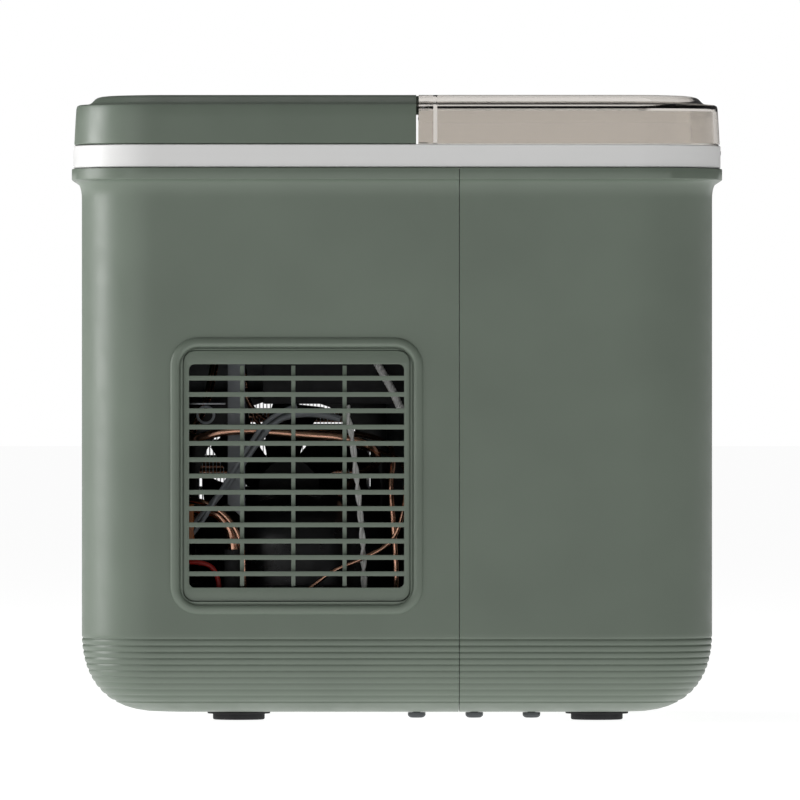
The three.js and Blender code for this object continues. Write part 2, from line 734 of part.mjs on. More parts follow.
function iceBasket() {
  const centreX = (TANK_REAR + TANK_FRONT) / 2 + 2.5;
  const halfX = (TANK_FRONT - TANK_REAR) / 2 - 7.5;
  const halfY = TANK_HALF_Y - 9;
  const wall = 1.8;
  const outer = loft([
    ring(halfX - 2, halfY - 2, 20, BASKET_BOTTOM, centreX, 0, 4),
    ring(halfX, halfY, 22, BASKET_BOTTOM + 3, centreX, 0, 4),
    ring(halfX, halfY, 22, BASKET_TOP, centreX, 0, 4),
  ]);
  const inner = loft([
    ring(halfX - 2 - wall, halfY - 2 - wall, 20 - wall, BASKET_BOTTOM + wall, centreX, 0, 4),
    ring(halfX - wall, halfY - wall, 22 - wall, BASKET_BOTTOM + 4, centreX, 0, 4),
    ring(halfX - wall, halfY - wall, 22 - wall, BASKET_TOP + 1, centreX, 0, 4),
  ]);
  const chute = box(
    centreX - halfX - 1, centreX - halfX + 6, -TRAY_HALF_Y, TRAY_HALF_Y,
    BASKET_TOP - 15, BASKET_TOP + 1,
  );
  const drains = [-2, -1, 0, 1, 2].map((row) => box(
    centreX - 30, centreX + 30, row * 26 - 2, row * 26 + 2, BASKET_BOTTOM - 1, BASKET_BOTTOM + 3,
  ));
  return cut(outer, [inner, chute, ...drains]);
}

function iceScoop() {
  const x = 98;
  const y = -58;
  const floor = BASKET_BOTTOM + 3;
  const bowl = loft([
    ring(22, 13, 6, floor, x, y, 3),
    ring(27, 18, 8, floor + 24, x, y, 3),
  ]);
  const hollow = loft([
    ring(20.6, 11.6, 5, floor + 1.6, x, y, 3),
    ring(25.6, 16.6, 7, floor + 24.4, x, y, 3),
  ]);
  const handle = loft([[32, 8, 34], [54, 6, 28], [73, 9, 21]].map(([atX, halfY, rise]) => [
    [-halfY, rise], [halfY, rise], [halfY, rise + 3], [-halfY, rise + 3],
  ].map(([dy, dz]) => new THREE.Vector3(atX, y + dy, floor + dz))));
  return bowl.add(handle).subtract(hollow);
}

// ---------------------------------------------------------------- ice-making head
function fingerPlaces() {
  return Array.from({ length: FINGER_COUNT }, (_, index) => (
    (index - (FINGER_COUNT - 1) / 2) * FINGER_PITCH
  ));
}

function evaporator() {
  const header = rod(4, [HEAD_X, -HEAD_HALF_Y, HEADER_Z], [HEAD_X, HEAD_HALF_Y, HEADER_Z], 10);
  const fingers = fingerPlaces().map((y) => turned([
    [0, FINGER_BOTTOM], [2.8, FINGER_BOTTOM + 1.2], [FINGER_RADIUS, FINGER_BOTTOM + 4],
    [FINGER_RADIUS, HEADER_Z], [0, HEADER_Z],
  ], HEAD_X, y, 8));
  const stubs = [
    [SUCTION_STUB_Y, 2.4], [0, 1.4], [BYPASS_STUB_Y, 1.8],
  ].map(([y, radius]) => rod(radius, [HEAD_X, y, STUB_Z], [STUB_END_X, y, STUB_Z], 8));
  return joined([header, ...fingers, ...stubs]);
}

function evaporatorHolder() {
  const bottom = TANK_TOP - 6.2;
  const plate = block(
    HEAD_X - 18, HEAD_X + 18, -BAY_HALF_Y + 2.4, BAY_HALF_Y - 2.4, bottom, bottom + 2, 4,
  );
  return cut(plate, fingerPlaces().map((y) => (
    rod(FINGER_RADIUS + 0.5, [HEAD_X, y, bottom - 1], [HEAD_X, y, bottom + 3], 8)
  )));
}

function waterTray() {
  const wall = 1.5;
  const start = (200 * Math.PI) / 180;
  const end = (340 * Math.PI) / 180;
  const trough = new THREE.Shape();
  trough.absarc(0, 0, TRAY_RADIUS, start, end, false);
  trough.absarc(0, 0, TRAY_RADIUS - wall, end, start, true);
  const cheek = new THREE.Shape();
  cheek.absarc(0, 0, TRAY_RADIUS, start, end, false);
  cheek.absarc(0, 0, 5, (20 * Math.PI) / 180, (160 * Math.PI) / 180, false);
  const slab = (shape, y0, y1) => {
    const geometry = new THREE.ExtrudeGeometry(shape, {
      depth: y1 - y0, bevelEnabled: false, curveSegments: 6,
    });
    geometry.rotateX(Math.PI / 2);
    geometry.translate(HEAD_X, y1, TRAY_AXIS_Z);
    return solid(geometry);
  };
  const axle = (y0, y1) => rod(3, [HEAD_X, y0, TRAY_AXIS_Z], [HEAD_X, y1, TRAY_AXIS_Z], 12);
  return joined([
    slab(trough, -TRAY_HALF_Y, TRAY_HALF_Y),
    slab(cheek, -TRAY_HALF_Y, -TRAY_HALF_Y + wall),
    slab(cheek, TRAY_HALF_Y - wall, TRAY_HALF_Y),
    axle(-BAY_HALF_Y + 0.4, -TRAY_HALF_Y + 1),
    axle(TRAY_HALF_Y - 1, BAY_HALF_Y + 0.9),
  ]);
}

function iceRake() {
  const shaft = rod(2, [RAKE_X, -BAY_HALF_Y + 0.4, RAKE_Z], [RAKE_X, BAY_HALF_Y - 0.4, RAKE_Z], 10);
  const blade = box(
    RAKE_X - 1, RAKE_X + 1, -HEAD_HALF_Y, HEAD_HALF_Y, RAKE_Z - RAKE_DROP / 2, RAKE_Z,
  );
  const tinePitch = (2 * HEAD_HALF_Y - 4) / FINGER_COUNT;
  const tines = Array.from({ length: FINGER_COUNT + 1 }, (_, index) => {
    const y = (index - FINGER_COUNT / 2) * tinePitch;
    return box(
      RAKE_X - 1, RAKE_X + 1, y - 2, y + 2, RAKE_Z - RAKE_DROP, RAKE_Z - RAKE_DROP / 2 + 1,
    );
  });
  return joined([shaft, blade, ...tines]);
}

function trayMotor() {
  const y0 = BAY_HALF_Y + 1.3;
  const gearbox = block(HEAD_X - 18, HEAD_X + 18, y0, y0 + 10, TRAY_AXIS_Z - 22, TRAY_AXIS_Z + 12, 4);
  const can = rod(12, [HEAD_X, y0 + 9, TRAY_AXIS_Z - 5], [HEAD_X, y0 + 19, TRAY_AXIS_Z - 5], 20);
  return gearbox.add(can);
}

// ---------------------------------------------------------------- refrigeration
function compressorBracket() {
  const plate = block(
    COMPRESSOR_X - 44, COMPRESSOR_X + 50, COMPRESSOR_Y - 45, COMPRESSOR_Y + 45,
    PLATE_TOP + GAP, PLATE_TOP + GAP + 2, 14,
  );
  const cradle = rod(
    34, [COMPRESSOR_X, COMPRESSOR_Y, PLATE_TOP + GAP + 1], [COMPRESSOR_X, COMPRESSOR_Y, 14.7], 24,
  );
  return plate.add(cradle);
}

function compressor() {
  const radius = COMPRESSOR_RADIUS;
  return turned([
    [0, 15], [radius - 12, 15], [radius - 4, 20], [radius, 30], [radius, 58],
    [radius + COMPRESSOR_FLANGE, 58], [radius + COMPRESSOR_FLANGE, 62],
    [radius, 62], [radius, 80], [radius - 4, 92], [radius - 14, 99], [18, 103.4], [0, 104.5],
  ], COMPRESSOR_X, COMPRESSOR_Y, 18);
}

function terminalCover() {
  const y0 = COMPRESSOR_Y + COMPRESSOR_RADIUS + COMPRESSOR_FLANGE + GAP;
  return block(COMPRESSOR_X - 18, COMPRESSOR_X + 18, y0, y0 + 13, 50, 88, 4);
}

function fanFrame() {
  const half = FAN_SIZE / 2;
  const y0 = FAN_Y - FAN_DEPTH / 2;
  const y1 = FAN_Y + FAN_DEPTH / 2;
  const body = sidePlate(FAN_X, FAN_Z, [[half, half, 5, y1], [half, half, 5, y0]]);
  const bore = rod(FAN_BORE, [FAN_X, y0 - 1, FAN_Z], [FAN_X, y1 + 1, FAN_Z], 28);
  const hub = rod(17, [FAN_X, y1 - 3.5, FAN_Z], [FAN_X, y1, FAN_Z], 20);
  const struts = [45, 135].map((angle) => (
    box(-half + 1, half - 1, -1.6, 1.6, -1.5, 1.5)
      .rotate([90, 0, 0])
      .rotate([0, angle, 0])
      .translate([FAN_X, y1 - 1.7, FAN_Z])
  ));
  return joined([body.subtract(bore), hub, ...struts]);
}

function fanBlade(turn) {
  const stations = [[14, 17, 38], [24, 22, 34], [33, 25, 30], [FAN_BORE - 1.2, 27, 27]];
  return loft(stations.map(([radius, chord, pitch]) => {
    const slope = (pitch * Math.PI) / 180;
    const sweepAngle = turn + (radius - 14) * 0.012;
    return [[-1, -1], [1, -1], [1, 1], [-1, 1]].map(([along, across]) => {
      const u = (along * chord) / 2;
      const v = across * 0.8;
      const angle = sweepAngle + (u * Math.cos(slope) - v * Math.sin(slope)) / radius;
      return new THREE.Vector3(
        radius * Math.cos(angle), radius * Math.sin(angle),
        u * Math.sin(slope) + v * Math.cos(slope),
      );
    });
  }));
}

function fanRotor() {
  const bladeCount = 7;
  const blades = Array.from({ length: bladeCount }, (_, index) => (
    fanBlade((index / bladeCount) * 2 * Math.PI)
  ));
  const hub = turned([[0, -9], [14.5, -9], [16.5, -7], [16.5, 8], [0, 8]], 0, 0, 20);
  return joined([hub, ...blades]).rotate([-90, 0, 0]).translate([FAN_X, FAN_Y - 0.5, FAN_Z]);
}

function fanBracket() {
  const y0 = FAN_Y + FAN_DEPTH / 2 + GAP;
  const x0 = FINS_X0 - 2;
  const x1 = INSULATION_REAR - GAP;
  const bottom = PLATE_TOP + GAP;
  const plate = box(x0, x1, y0, y0 + 1.2, bottom, BAY_BOTTOM - 2);
  const flange = box(x0, FINS_X1 + 1, y0 - 13, y0 + 1.2, bottom, bottom + 1.5);
  const bore = rod(FAN_BORE, [FAN_X, y0 - 1, FAN_Z], [FAN_X, y0 + 2, FAN_Z], 28);
  return plate.add(flange).subtract(bore);
}

function coilRowHeight(row) {
  return COIL_BOTTOM + row * COIL_PITCH;
}

function condenserFins() {
  const z0 = COIL_BOTTOM - 12;
  const z1 = coilRowHeight(COIL_ROWS - 1) + 12;
  const halfDepth = FINS_DEPTH / 2;
  const stack = box(FINS_X0, FINS_X1, COIL_Y - halfDepth, COIL_Y + halfDepth, z0, z1);
  const endPlates = [FINS_X0, FINS_X1 - 1.2].map((x) => (
    box(x, x + 1.2, FAN_Y + FAN_DEPTH / 2 + 2, COIL_Y + halfDepth, z0, z1)
  ));
  const channels = [];
  for (let row = 0; row < COIL_ROWS; row += 1) {
    const z = coilRowHeight(row);
    channels.push(rod(COIL_RADIUS + GAP, [FINS_X0 - 1, COIL_Y, z], [FINS_X1 + 1, COIL_Y, z], 12));
  }
  const airways = [];
  const columns = 4;
  const pitch = (FINS_X1 - FINS_X0 - 2.4) / columns;
  for (let row = 0; row < COIL_ROWS - 1; row += 1) {
    for (let column = 0; column < columns; column += 1) {
      const x = FINS_X0 + 2 + column * pitch;
      const z = coilRowHeight(row);
      airways.push(box(
        x, x + pitch - 1.4, COIL_Y - FINS_DEPTH, COIL_Y + FINS_DEPTH, z + 5, z + COIL_PITCH - 5,
      ));
    }
  }
  return cut(joined([stack, ...endPlates]), [...channels, ...airways]);
}

function condenserCoil() {
  const path = new THREE.CurvePath();
  const bend = COIL_PITCH / 2;
  for (let row = COIL_ROWS - 1; row >= 0; row -= 1) {
    const forward = (COIL_ROWS - 1 - row) % 2 === 0;
    const z = coilRowHeight(row);
    const from = forward ? COIL_LEFT : COIL_RIGHT;
    const to = forward ? COIL_RIGHT : COIL_LEFT;
    path.add(new THREE.LineCurve3(
      new THREE.Vector3(from, COIL_Y, z), new THREE.Vector3(to, COIL_Y, z),
    ));
    if (row > 0) {
      const reach = forward ? bend * 4 / 3 : -bend * 4 / 3;
      path.add(new THREE.CubicBezierCurve3(
        new THREE.Vector3(to, COIL_Y, z),
        new THREE.Vector3(to + reach, COIL_Y, z),
        new THREE.Vector3(to + reach, COIL_Y, z - COIL_PITCH),
        new THREE.Vector3(to, COIL_Y, z - COIL_PITCH),
      ));
    }
  }
  return sweep(path, COIL_RADIUS, 6, 48);
}

// Routes of the pipes, hoses and leads, each a list of points along its middle.
const COIL_INLET = [COIL_LEFT - GAP, COIL_Y, coilRowHeight(COIL_ROWS - 1)];
const COIL_OUTLET = [COIL_LEFT - GAP, COIL_Y, coilRowHeight(0)];
const RISER_Y = -(BAY_HALF_Y + 12);

const ROUTES = {
  discharge_pipe: [
    [-76.8, -64.5, 48], [-78, -78, 51], [-75.5, -85, 62], [-75, -85, 82.5], [-78, -85, 91.3],
    [-84, -84, 96.6], [-94, -80, 97.5], [-107, -60, 100], [-112, 0, 115], [-116, 50, 140],
    [-121, 80, 152], [-118, 86, 143.5], [-112, COIL_Y, 140], COIL_INLET,
  ],
  suction_pipe: [
    [STUB_END_X - GAP, SUCTION_STUB_Y, STUB_Z], [STUB_END_X - 4, SUCTION_STUB_Y, STUB_Z],
    [-76, 10, STUB_Z - 10], [-82, 4, STUB_Z - 51], [-86, -40, 150], [-98, -78, 128],
    [-84, -83, 132.7], [-70, -84, 134.2], [-43, -84, 131.8], [-24.5, -84, 130.8],
    [-10.4, -82, 126.5], [-8, -70, 118], [-20, -48, 112], [-26, -42, 103.5],
  ],
  bypass_pipe: [
    [-13, -64, 45], [-3, -80, 52], [0, -85, 62.3], [-0.8, -85, 79], [-2.1, -85, 96.6],
    [-3.2, -84, 110], [-1, -77, 121], [-4, -62, 129], [-22, -36, 133], [-50, -16, 134],
    [-66, -12, 140], [-73, -12, 155], [-76, -12, STUB_Z - 51], [-76, -12, STUB_Z - 10],
    [STUB_END_X - 4, BYPASS_STUB_Y, STUB_Z],
    [STUB_END_X - GAP, BYPASS_STUB_Y, STUB_Z],
  ],
  liquid_pipe: [
    COIL_OUTLET, [-112, COIL_Y, 68], [-120, 86, 70], [-127, 82, 80], [-125, 72, 93],
    [DRIER_X, DRIER_Y, 92], [DRIER_X, DRIER_Y, 86.4],
  ],
  capillary_tube: [
    [DRIER_X, DRIER_Y, 27.6], [DRIER_X, DRIER_Y, 23], [-115, 60, 14], [-108, 50, 12],
    [-106, 20, 14], [-103, -28, 20], [-93, -50, 30], [-82, -74, 35], [-68, -88, 42],
    [-50, -89, 54], [-38.5, -89, 62.3], [-29.7, -89, 69.4], [-17.4, -90, 74],
    [-1.6, -89, 82], [3.2, -89, 96], [4, -84, 108], [4, -74, 116], [0, -58, 122],
    [-20, -30, 127], [-50, -4, 130], [-66, 0, 135], [-71, 0, 152],
    [-74, 0, STUB_Z - 51], [-75, 0, STUB_Z - 10], [STUB_END_X - 4, 0, STUB_Z],
    [STUB_END_X - GAP, 0, STUB_Z],
  ],
  pump_hose: [
    [PUMP_X, PUMP_Y, 53.4], [PUMP_X, PUMP_Y, 58], [-113, -82, 84], [-112, -87, 150],
    [-102, -70, HOSE_Z - 29], [-86, -44, HOSE_Z - 2], [-66, HOSE_Y, HOSE_Z], [-46, HOSE_Y, HOSE_Z],
    [-35, HOSE_Y, HOSE_Z - 5],
  ],
  drain_hose: [
    [DRAIN_FLOOR_X + 9.2, DRAIN_Y, DRAIN_Z], [DRAIN_FLOOR_X + 16, DRAIN_Y, DRAIN_Z],
    [-96, DRAIN_Y, 23], [-50, DRAIN_Y - 4, 21], [-12, 41, 25], [0, SPIGOT_Y, SPIGOT_Z],
    [SPIGOT_END_X - GAP, SPIGOT_Y, SPIGOT_Z],
  ],
  lead_pair: [
    [-23, -87, 145], [-22.4, -90, 140], [-20.6, -91, 130], [-18.8, -90, 114],
    [-17, -87, 96.6], [-15.7, -86, 82], [-15, -86, 60], [-12, -84, 40],
  ],
  fan_lead: [
    [-98, -84, 88], [-92, -89, 92], [-85, -91, 100], [-74, -90, 114], [-66, -89, 126],
    [-57, -88.5, 138], [-47, -88, 141.5], [-34, -88, 141.5], [-26, -88, 139],
  ],
};

function filterDrier() {
  return turned([
    [0, 28], [2, 28], [2, 34], [8, 40], [8, 74], [2, 80], [2, 86], [0, 86],
  ], DRIER_X, DRIER_Y, 16);
}

function hangerStrip() {
  const x0 = -78;
  const x1 = -70;
  const y0 = -80;
  const outline = new THREE.Shape([
    new THREE.Vector2(x0, 100), new THREE.Vector2(x1 - 2, 94), new THREE.Vector2(x1, 97),
    new THREE.Vector2(x1, STRIP_TOP), new THREE.Vector2(x0, STRIP_TOP),
  ]);
  const geometry = new THREE.ExtrudeGeometry(outline, { depth: 1, bevelEnabled: false });
  geometry.rotateX(Math.PI / 2);
  geometry.translate(0, y0 + 1, 0);
  const tab = box(x0, x1, -(WIDTH / 2 - BODY_INSET - WALL - GAP), y0 + 0.5, STRIP_TOP - 1.2, STRIP_TOP);
  return solid(geometry).add(tab);
}

// ---------------------------------------------------------------- water and power
function waterPump() {
  return turned([
    [0, PLATE_TOP + GAP], [13, PLATE_TOP + GAP], [13, 30], [10, 32], [10, 48], [3, 48], [3, 53],
    [0, 53],
  ], PUMP_X, PUMP_Y, 14);
}

function controlBoard() {
  const x0 = HOUSING_REAR + WALL + BOARD_STANDOFF + GAP;
  const board = box(x0, x0 + 1.6, BOARD_Y0, BOARD_Y1, BOARD_Z0, BOARD_Z1);
  const onBoard = [
    [14, BOARD_Y0 + 8, BOARD_Y0 + 30, BOARD_Z0 + 34, BOARD_Z0 + 56],
    [12, BOARD_Y0 + 38, BOARD_Y0 + 54, BOARD_Z0 + 38, BOARD_Z0 + 54],
    [9, BOARD_Y0 + 10, BOARD_Y0 + 34, BOARD_Z0 + 8, BOARD_Z0 + 18],
    [7, BOARD_Y0 + 44, BOARD_Y0 + 72, BOARD_Z0 + 8, BOARD_Z0 + 14],
  ].map(([height, y0, y1, z0, z1]) => box(x0 + 1, x0 + 1.6 + height, y0, y1, z0, z1));
  return joined([board, ...onBoard]);
}

// A box around the inlet's axis, with a margin outside the inlet's body.
function inletBox(x0, x1, margin) {
  return box(
    x0, x1,
    INLET_Y - INLET_HALF_Y - margin, INLET_Y + INLET_HALF_Y + margin,
    INLET_Z - INLET_HALF_Z - margin, INLET_Z + INLET_HALF_Z + margin,
  );
}

function powerInlet() {
  const flangeX = HOUSING_REAR + WALL + GAP;
  const flange = inletBox(flangeX, flangeX + 2, 3);
  const body = inletBox(HOUSING_REAR, INLET_BACK_X, 0);
  const socket = inletBox(HOUSING_REAR - 1, INLET_BACK_X - 2, -2);
  return flange.add(body).subtract(socket);
}

function inletPins() {
  const x1 = INLET_BACK_X - 2 - GAP;
  const carrier = inletBox(x1 - 2, x1, -2 - GAP);
  const pins = [[-6, -1], [0, 1.5], [6, -1]].map(([dy, dz]) => box(
    x1 - 12, x1 - 1, INLET_Y + dy - 1, INLET_Y + dy + 1, INLET_Z + dz - 2, INLET_Z + dz + 2,
  ));
  return joined([carrier, ...pins]);
}

function drainFitting() {
  const sleeve = drainRod(6, DRAIN_FLOOR_X - 4, DRAIN_FLOOR_X + 8.7);
  const flange = drainRod(8.5, DRAIN_FLOOR_X - 1.8, DRAIN_FLOOR_X - GAP);
  const bore = drainRod(3.3, DRAIN_FLOOR_X - 5, DRAIN_FLOOR_X + 9, 12);
  return sleeve.add(flange).subtract(bore);
}

function drainPlug() {
  const faceX = DRAIN_FLOOR_X - 4 - GAP;
  return drainRod(8, faceX - 3, faceX).add(drainRod(2.9, faceX - 1, faceX + 9, 12));
}

// ---------------------------------------------------------------- the whole machine
const sagePlastic = finish('sage', 0.42, 0);
const whitePlastic = finish('white', 0.4, 0);
const smokedPlastic = finish('smoke', 0.1, 0);
const blackPlastic = finish('black', 0.55, 0);
const blackRubber = finish('black', 0.85, 0);
const darkSteel = finish('darkGrey', 0.4, 0.8);
const steel = finish('steel', 0.35, 0.9);
const copper = finish('copper', 0.3, 1);
const greyPlastic = finish('pale', 0.5, 0);

function addCase() {
  const group = assembly();
  const shell = housingShell();
  addPart(group, 'rear_housing', rearHousing(shell), sagePlastic);
  addPart(group, 'front_housing', frontHousing(shell), sagePlastic);
  addPart(group, 'base_plate', basePlate(), steel);
  addCopies(group, 'foot', foot(), blackRubber, FOOT_PLACES);
  addCopies(group, 'base_screw', baseScrew(), darkSteel, SCREW_PLACES);
  const [rightGrille, leftGrille] = bothSides(ventGrille());
  addPart(group, 'vent_grille_right', rightGrille, sagePlastic);
  addPart(group, 'vent_grille_left', leftGrille, sagePlastic);
  addPart(group, 'top_frame', topFrame(), whitePlastic);
  addPart(group, 'front_badge', frontBadge(), darkSteel);
  addPart(group, 'rear_cover', rearCover(), sagePlastic);
  addPart(group, 'control_panel', controlPanel(), blackPlastic);
  addPart(group, 'button_board', buttonBoard(), finish('board', 0.6, 0));
  const [rightPin, leftPin] = bothSides(
    hingeRod(HINGE_PIN_RADIUS, BOSS_INNER + 0.5, BOSS_OUTER - 0.5),
  );
  addPart(group, 'hinge_pin_right', rightPin, steel);
  addPart(group, 'hinge_pin_left', leftPin, steel);
}

function addMovingTops() {
  addPart(assembly(HINGE_X, 0, HINGE_Z), 'front_lid', frontLid(), smokedPlastic);
  const powerSide = assembly(BUTTON_X, -BUTTON_Y, HEIGHT);
  addPart(powerSide, 'power_button', pushButton(-BUTTON_Y), greyPlastic);
  const sizeSide = assembly(BUTTON_X, BUTTON_Y, HEIGHT);
  addPart(sizeSide, 'size_button', pushButton(BUTTON_Y), greyPlastic);
}

function addTankGroup() {
  const group = assembly();
  const liner = tank();
  addPart(group, 'tank', level(liner, SUMP_TOP, HEIGHT), whitePlastic);
  addPart(group, 'tank_sump', level(liner, 0, SUMP_TOP - GAP), whitePlastic);
  addPart(group, 'tank_insulation', tankInsulation(), blackRubber);
  addPart(group, 'ice_basket', iceBasket(), greyPlastic);
  addPart(group, 'ice_scoop', iceScoop(), greyPlastic);
  addPart(group, 'evaporator', evaporator(), steel);
  addPart(group, 'evaporator_holder', evaporatorHolder(), greyPlastic);
  addPart(group, 'tray_motor', trayMotor(), blackPlastic);
  addPart(assembly(HEAD_X, 0, TRAY_AXIS_Z), 'water_tray', waterTray(), whitePlastic);
  addPart(assembly(RAKE_X, 0, RAKE_Z), 'ice_rake', iceRake(), whitePlastic);
}

function addRefrigeration() {
  const group = assembly();
  addPart(group, 'compressor', compressor(), blackPlastic);
  addPart(group, 'compressor_bracket', compressorBracket(), steel);
  addPart(group, 'terminal_cover', terminalCover(), blackPlastic);
  addPart(group, 'fan_frame', fanFrame(), blackPlastic);
  addPart(group, 'fan_bracket', fanBracket(), steel);
  addPart(group, 'condenser_fins', condenserFins(), steel);
  addPart(group, 'condenser_coil', condenserCoil(), copper);
  addPart(group, 'filter_drier', filterDrier(), copper);
  addPart(group, 'hanger_strip', hangerStrip(), steel);
  addPart(group, 'discharge_pipe', tube(ROUTES.discharge_pipe, 2.5, 6, 34), copper);
  addPart(group, 'suction_pipe', tube(ROUTES.suction_pipe, 2, 6, 36), copper);
  addPart(group, 'bypass_pipe', tube(ROUTES.bypass_pipe, 1.25, 6, 26), copper);
  addPart(group, 'liquid_pipe', tube(ROUTES.liquid_pipe, 2, 6, 12), copper);
  addPart(group, 'capillary_tube', tube(ROUTES.capillary_tube, 1, 6, 38), copper);
  addPart(assembly(FAN_X, FAN_Y, FAN_Z), 'fan_rotor', fanRotor(), blackPlastic);
}

function addWaterAndPower() {
  const group = assembly();
  addPart(group, 'water_pump', waterPump(), blackPlastic);
  addPart(group, 'pump_hose', tube(ROUTES.pump_hose, HOSE_RADIUS, 6, 20), greyPlastic);
  addPart(group, 'drain_hose', tube(ROUTES.drain_hose, 4, 8, 12), greyPlastic);
  addPart(group, 'control_board', controlBoard(), finish('board', 0.6, 0));
  addPart(group, 'power_inlet', powerInlet(), blackPlastic);
  addPart(group, 'inlet_pins', inletPins(), steel);
  addPart(group, 'drain_fitting', drainFitting(), greyPlastic);
  addPart(group, 'drain_plug', drainPlug(), blackRubber);
  addPart(group, 'lead_pair', tube(ROUTES.lead_pair, 1.7, 6, 14), whitePlastic);
  addPart(group, 'fan_lead', tube(ROUTES.fan_lead, 1.6, 6, 16), greyPlastic);
}

addCase();
addMovingTops();
addTankGroup();
addRefrigeration();
addWaterAndPower();

export default iceMaker;
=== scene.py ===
"""Countertop compressor ice maker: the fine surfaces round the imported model.

Lengths are in metres, +X is the front with the clear lid and +Z is up.
"""
import math

import bmesh
import bpy
from mathutils import Matrix, Vector


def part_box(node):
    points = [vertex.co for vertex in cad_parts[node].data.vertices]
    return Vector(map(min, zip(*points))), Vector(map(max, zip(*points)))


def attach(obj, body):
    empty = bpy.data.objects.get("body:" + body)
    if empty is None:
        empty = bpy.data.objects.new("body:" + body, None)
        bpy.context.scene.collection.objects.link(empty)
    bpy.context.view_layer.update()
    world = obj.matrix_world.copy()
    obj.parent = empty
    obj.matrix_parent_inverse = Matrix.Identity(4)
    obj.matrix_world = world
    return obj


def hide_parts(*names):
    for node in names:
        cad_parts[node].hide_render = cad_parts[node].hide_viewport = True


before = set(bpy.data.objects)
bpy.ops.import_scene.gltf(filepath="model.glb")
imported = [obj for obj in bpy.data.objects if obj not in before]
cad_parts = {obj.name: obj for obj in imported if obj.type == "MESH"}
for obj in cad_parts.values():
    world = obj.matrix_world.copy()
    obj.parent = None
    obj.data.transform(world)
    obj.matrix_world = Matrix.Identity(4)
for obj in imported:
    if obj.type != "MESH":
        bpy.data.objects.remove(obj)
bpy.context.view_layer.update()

bl_info = {
    "name": "Ice maker surfaces",
    "version": (1, 0, 0),
    "blender": (4, 5, 0),
    "location": "View3D > Sidebar > Ice maker",
    "description": "Models the visible pieces of a countertop ice maker",
    "category": "Add Mesh",
}

MM = 0.001
HALF_LENGTH = 150 * MM
HALF_WIDTH = 113 * MM
LIP_RADIUS = 38 * MM
RADIUS_PER_INSET = 0.62
BODY_INSET = 4.6 * MM
WALL = 2.5 * MM
FOOT_HEIGHT = 3.9 * MM
UNDERCUT_HEIGHT = 36.1 * MM
UNDERCUT_DEPTH = 36 * MM
BODY_TOP = 240.4 * MM
LIP_TOP = 254.3 * MM
LIP_HEIGHT = 5.3 * MM
SEAM_X = 28.6 * MM
SEAM_GAP = 0.3 * MM
VENT = Vector((-46 * MM, 0, 113 * MM))
VENT_HALF = Vector((51.9 * MM, 0, 57.39 * MM))
AMBIENT = 0.08


# ------------------------------------------------------------------ modelling helpers
def pick_only(piece):
    """Leaves one object selected and active."""
    bpy.ops.object.select_all(action="DESELECT")
    piece.select_set(True)
    bpy.context.view_layer.objects.active = piece


def edit(piece):
    """Opens one object in edit mode with nothing selected in it."""
    pick_only(piece)
    bpy.ops.object.mode_set(mode="EDIT")
    bpy.ops.mesh.select_mode(type="VERT")
    bpy.ops.mesh.select_all(action="DESELECT")


def close_edit():
    bpy.ops.object.mode_set(mode="OBJECT")


def pick_rings(piece, *numbers):
    """Selects the outlines with these numbers in edit mode."""
    bpy.ops.mesh.select_all(action="DESELECT")
    mesh = bmesh.from_edit_mesh(piece.data)
    ring = mesh.verts.layers.int["ring"]
    for vert in mesh.verts:
        vert.select = vert[ring] in numbers
    mesh.select_flush(True)
    bmesh.update_edit_mesh(piece.data)


def number_ring(piece, number):
    """Numbers the points that have no outline number yet."""
    mesh = bmesh.from_edit_mesh(piece.data)
    ring = mesh.verts.layers.int.get("ring") or mesh.verts.layers.int.new("ring")
    for vert in mesh.verts:
        vert[ring] = vert[ring] or number
    bmesh.update_edit_mesh(piece.data)


def rounded(half_x, half_y, radius, z, centre=(0, 0), steps=12):
    """One outline: a rounded rectangle at a height."""
    return {"half": (half_x, half_y), "radius": radius, "z": z, "centre": centre, "steps": steps}


def circle(radius, z, centre=(0, 0), steps=48):
    """One outline: a circle at a height."""
    return {"circle": radius, "z": z, "centre": centre, "steps": steps}


def add_outline(outline):
    """Adds one outline to the mesh in edit mode, as a ring of edges."""
    bpy.ops.mesh.select_all(action="DESELECT")
    place = (*outline["centre"], outline["z"])
    if "circle" in outline:
        bpy.ops.mesh.primitive_circle_add(
            vertices=outline["steps"], radius=outline["circle"], location=place
        )
        return
    bpy.ops.mesh.primitive_plane_add(size=2, location=place)
    half_x, half_y = outline["half"]
    bpy.ops.transform.resize(value=(half_x, half_y, 1), center_override=place)
    bpy.ops.mesh.bevel(
        offset=outline["radius"], segments=outline["steps"], affect="VERTICES",
        offset_type="OFFSET", profile=0.5,
    )
    bpy.ops.mesh.delete(type="ONLY_FACE")


def stacked(name, outlines, caps=True):
    """Bridges outlines in order into one skin, closed at both ends unless told otherwise."""
    bpy.ops.object.select_all(action="DESELECT")
    bpy.ops.mesh.primitive_plane_add(size=1)
    piece = bpy.context.object
    piece.name = name
    edit(piece)
    bpy.ops.mesh.select_all(action="SELECT")
    bpy.ops.mesh.delete(type="VERT")
    order = list(range(1, len(outlines) + 1))
    for number, outline in zip(order, outlines):
        add_outline(outline)
        number_ring(piece, number)
    for pair in zip(order, order[1:]):
        pick_rings(piece, *pair)
        bpy.ops.mesh.bridge_edge_loops()
    for number in (1, order[-1]) if caps else ():
        pick_rings(piece, number)
        bpy.ops.mesh.edge_face_add()
    bpy.ops.mesh.select_all(action="SELECT")
    bpy.ops.mesh.normals_make_consistent(inside=False)
    close_edit()
    piece.data.attributes.remove(piece.data.attributes["ring"])
    return piece


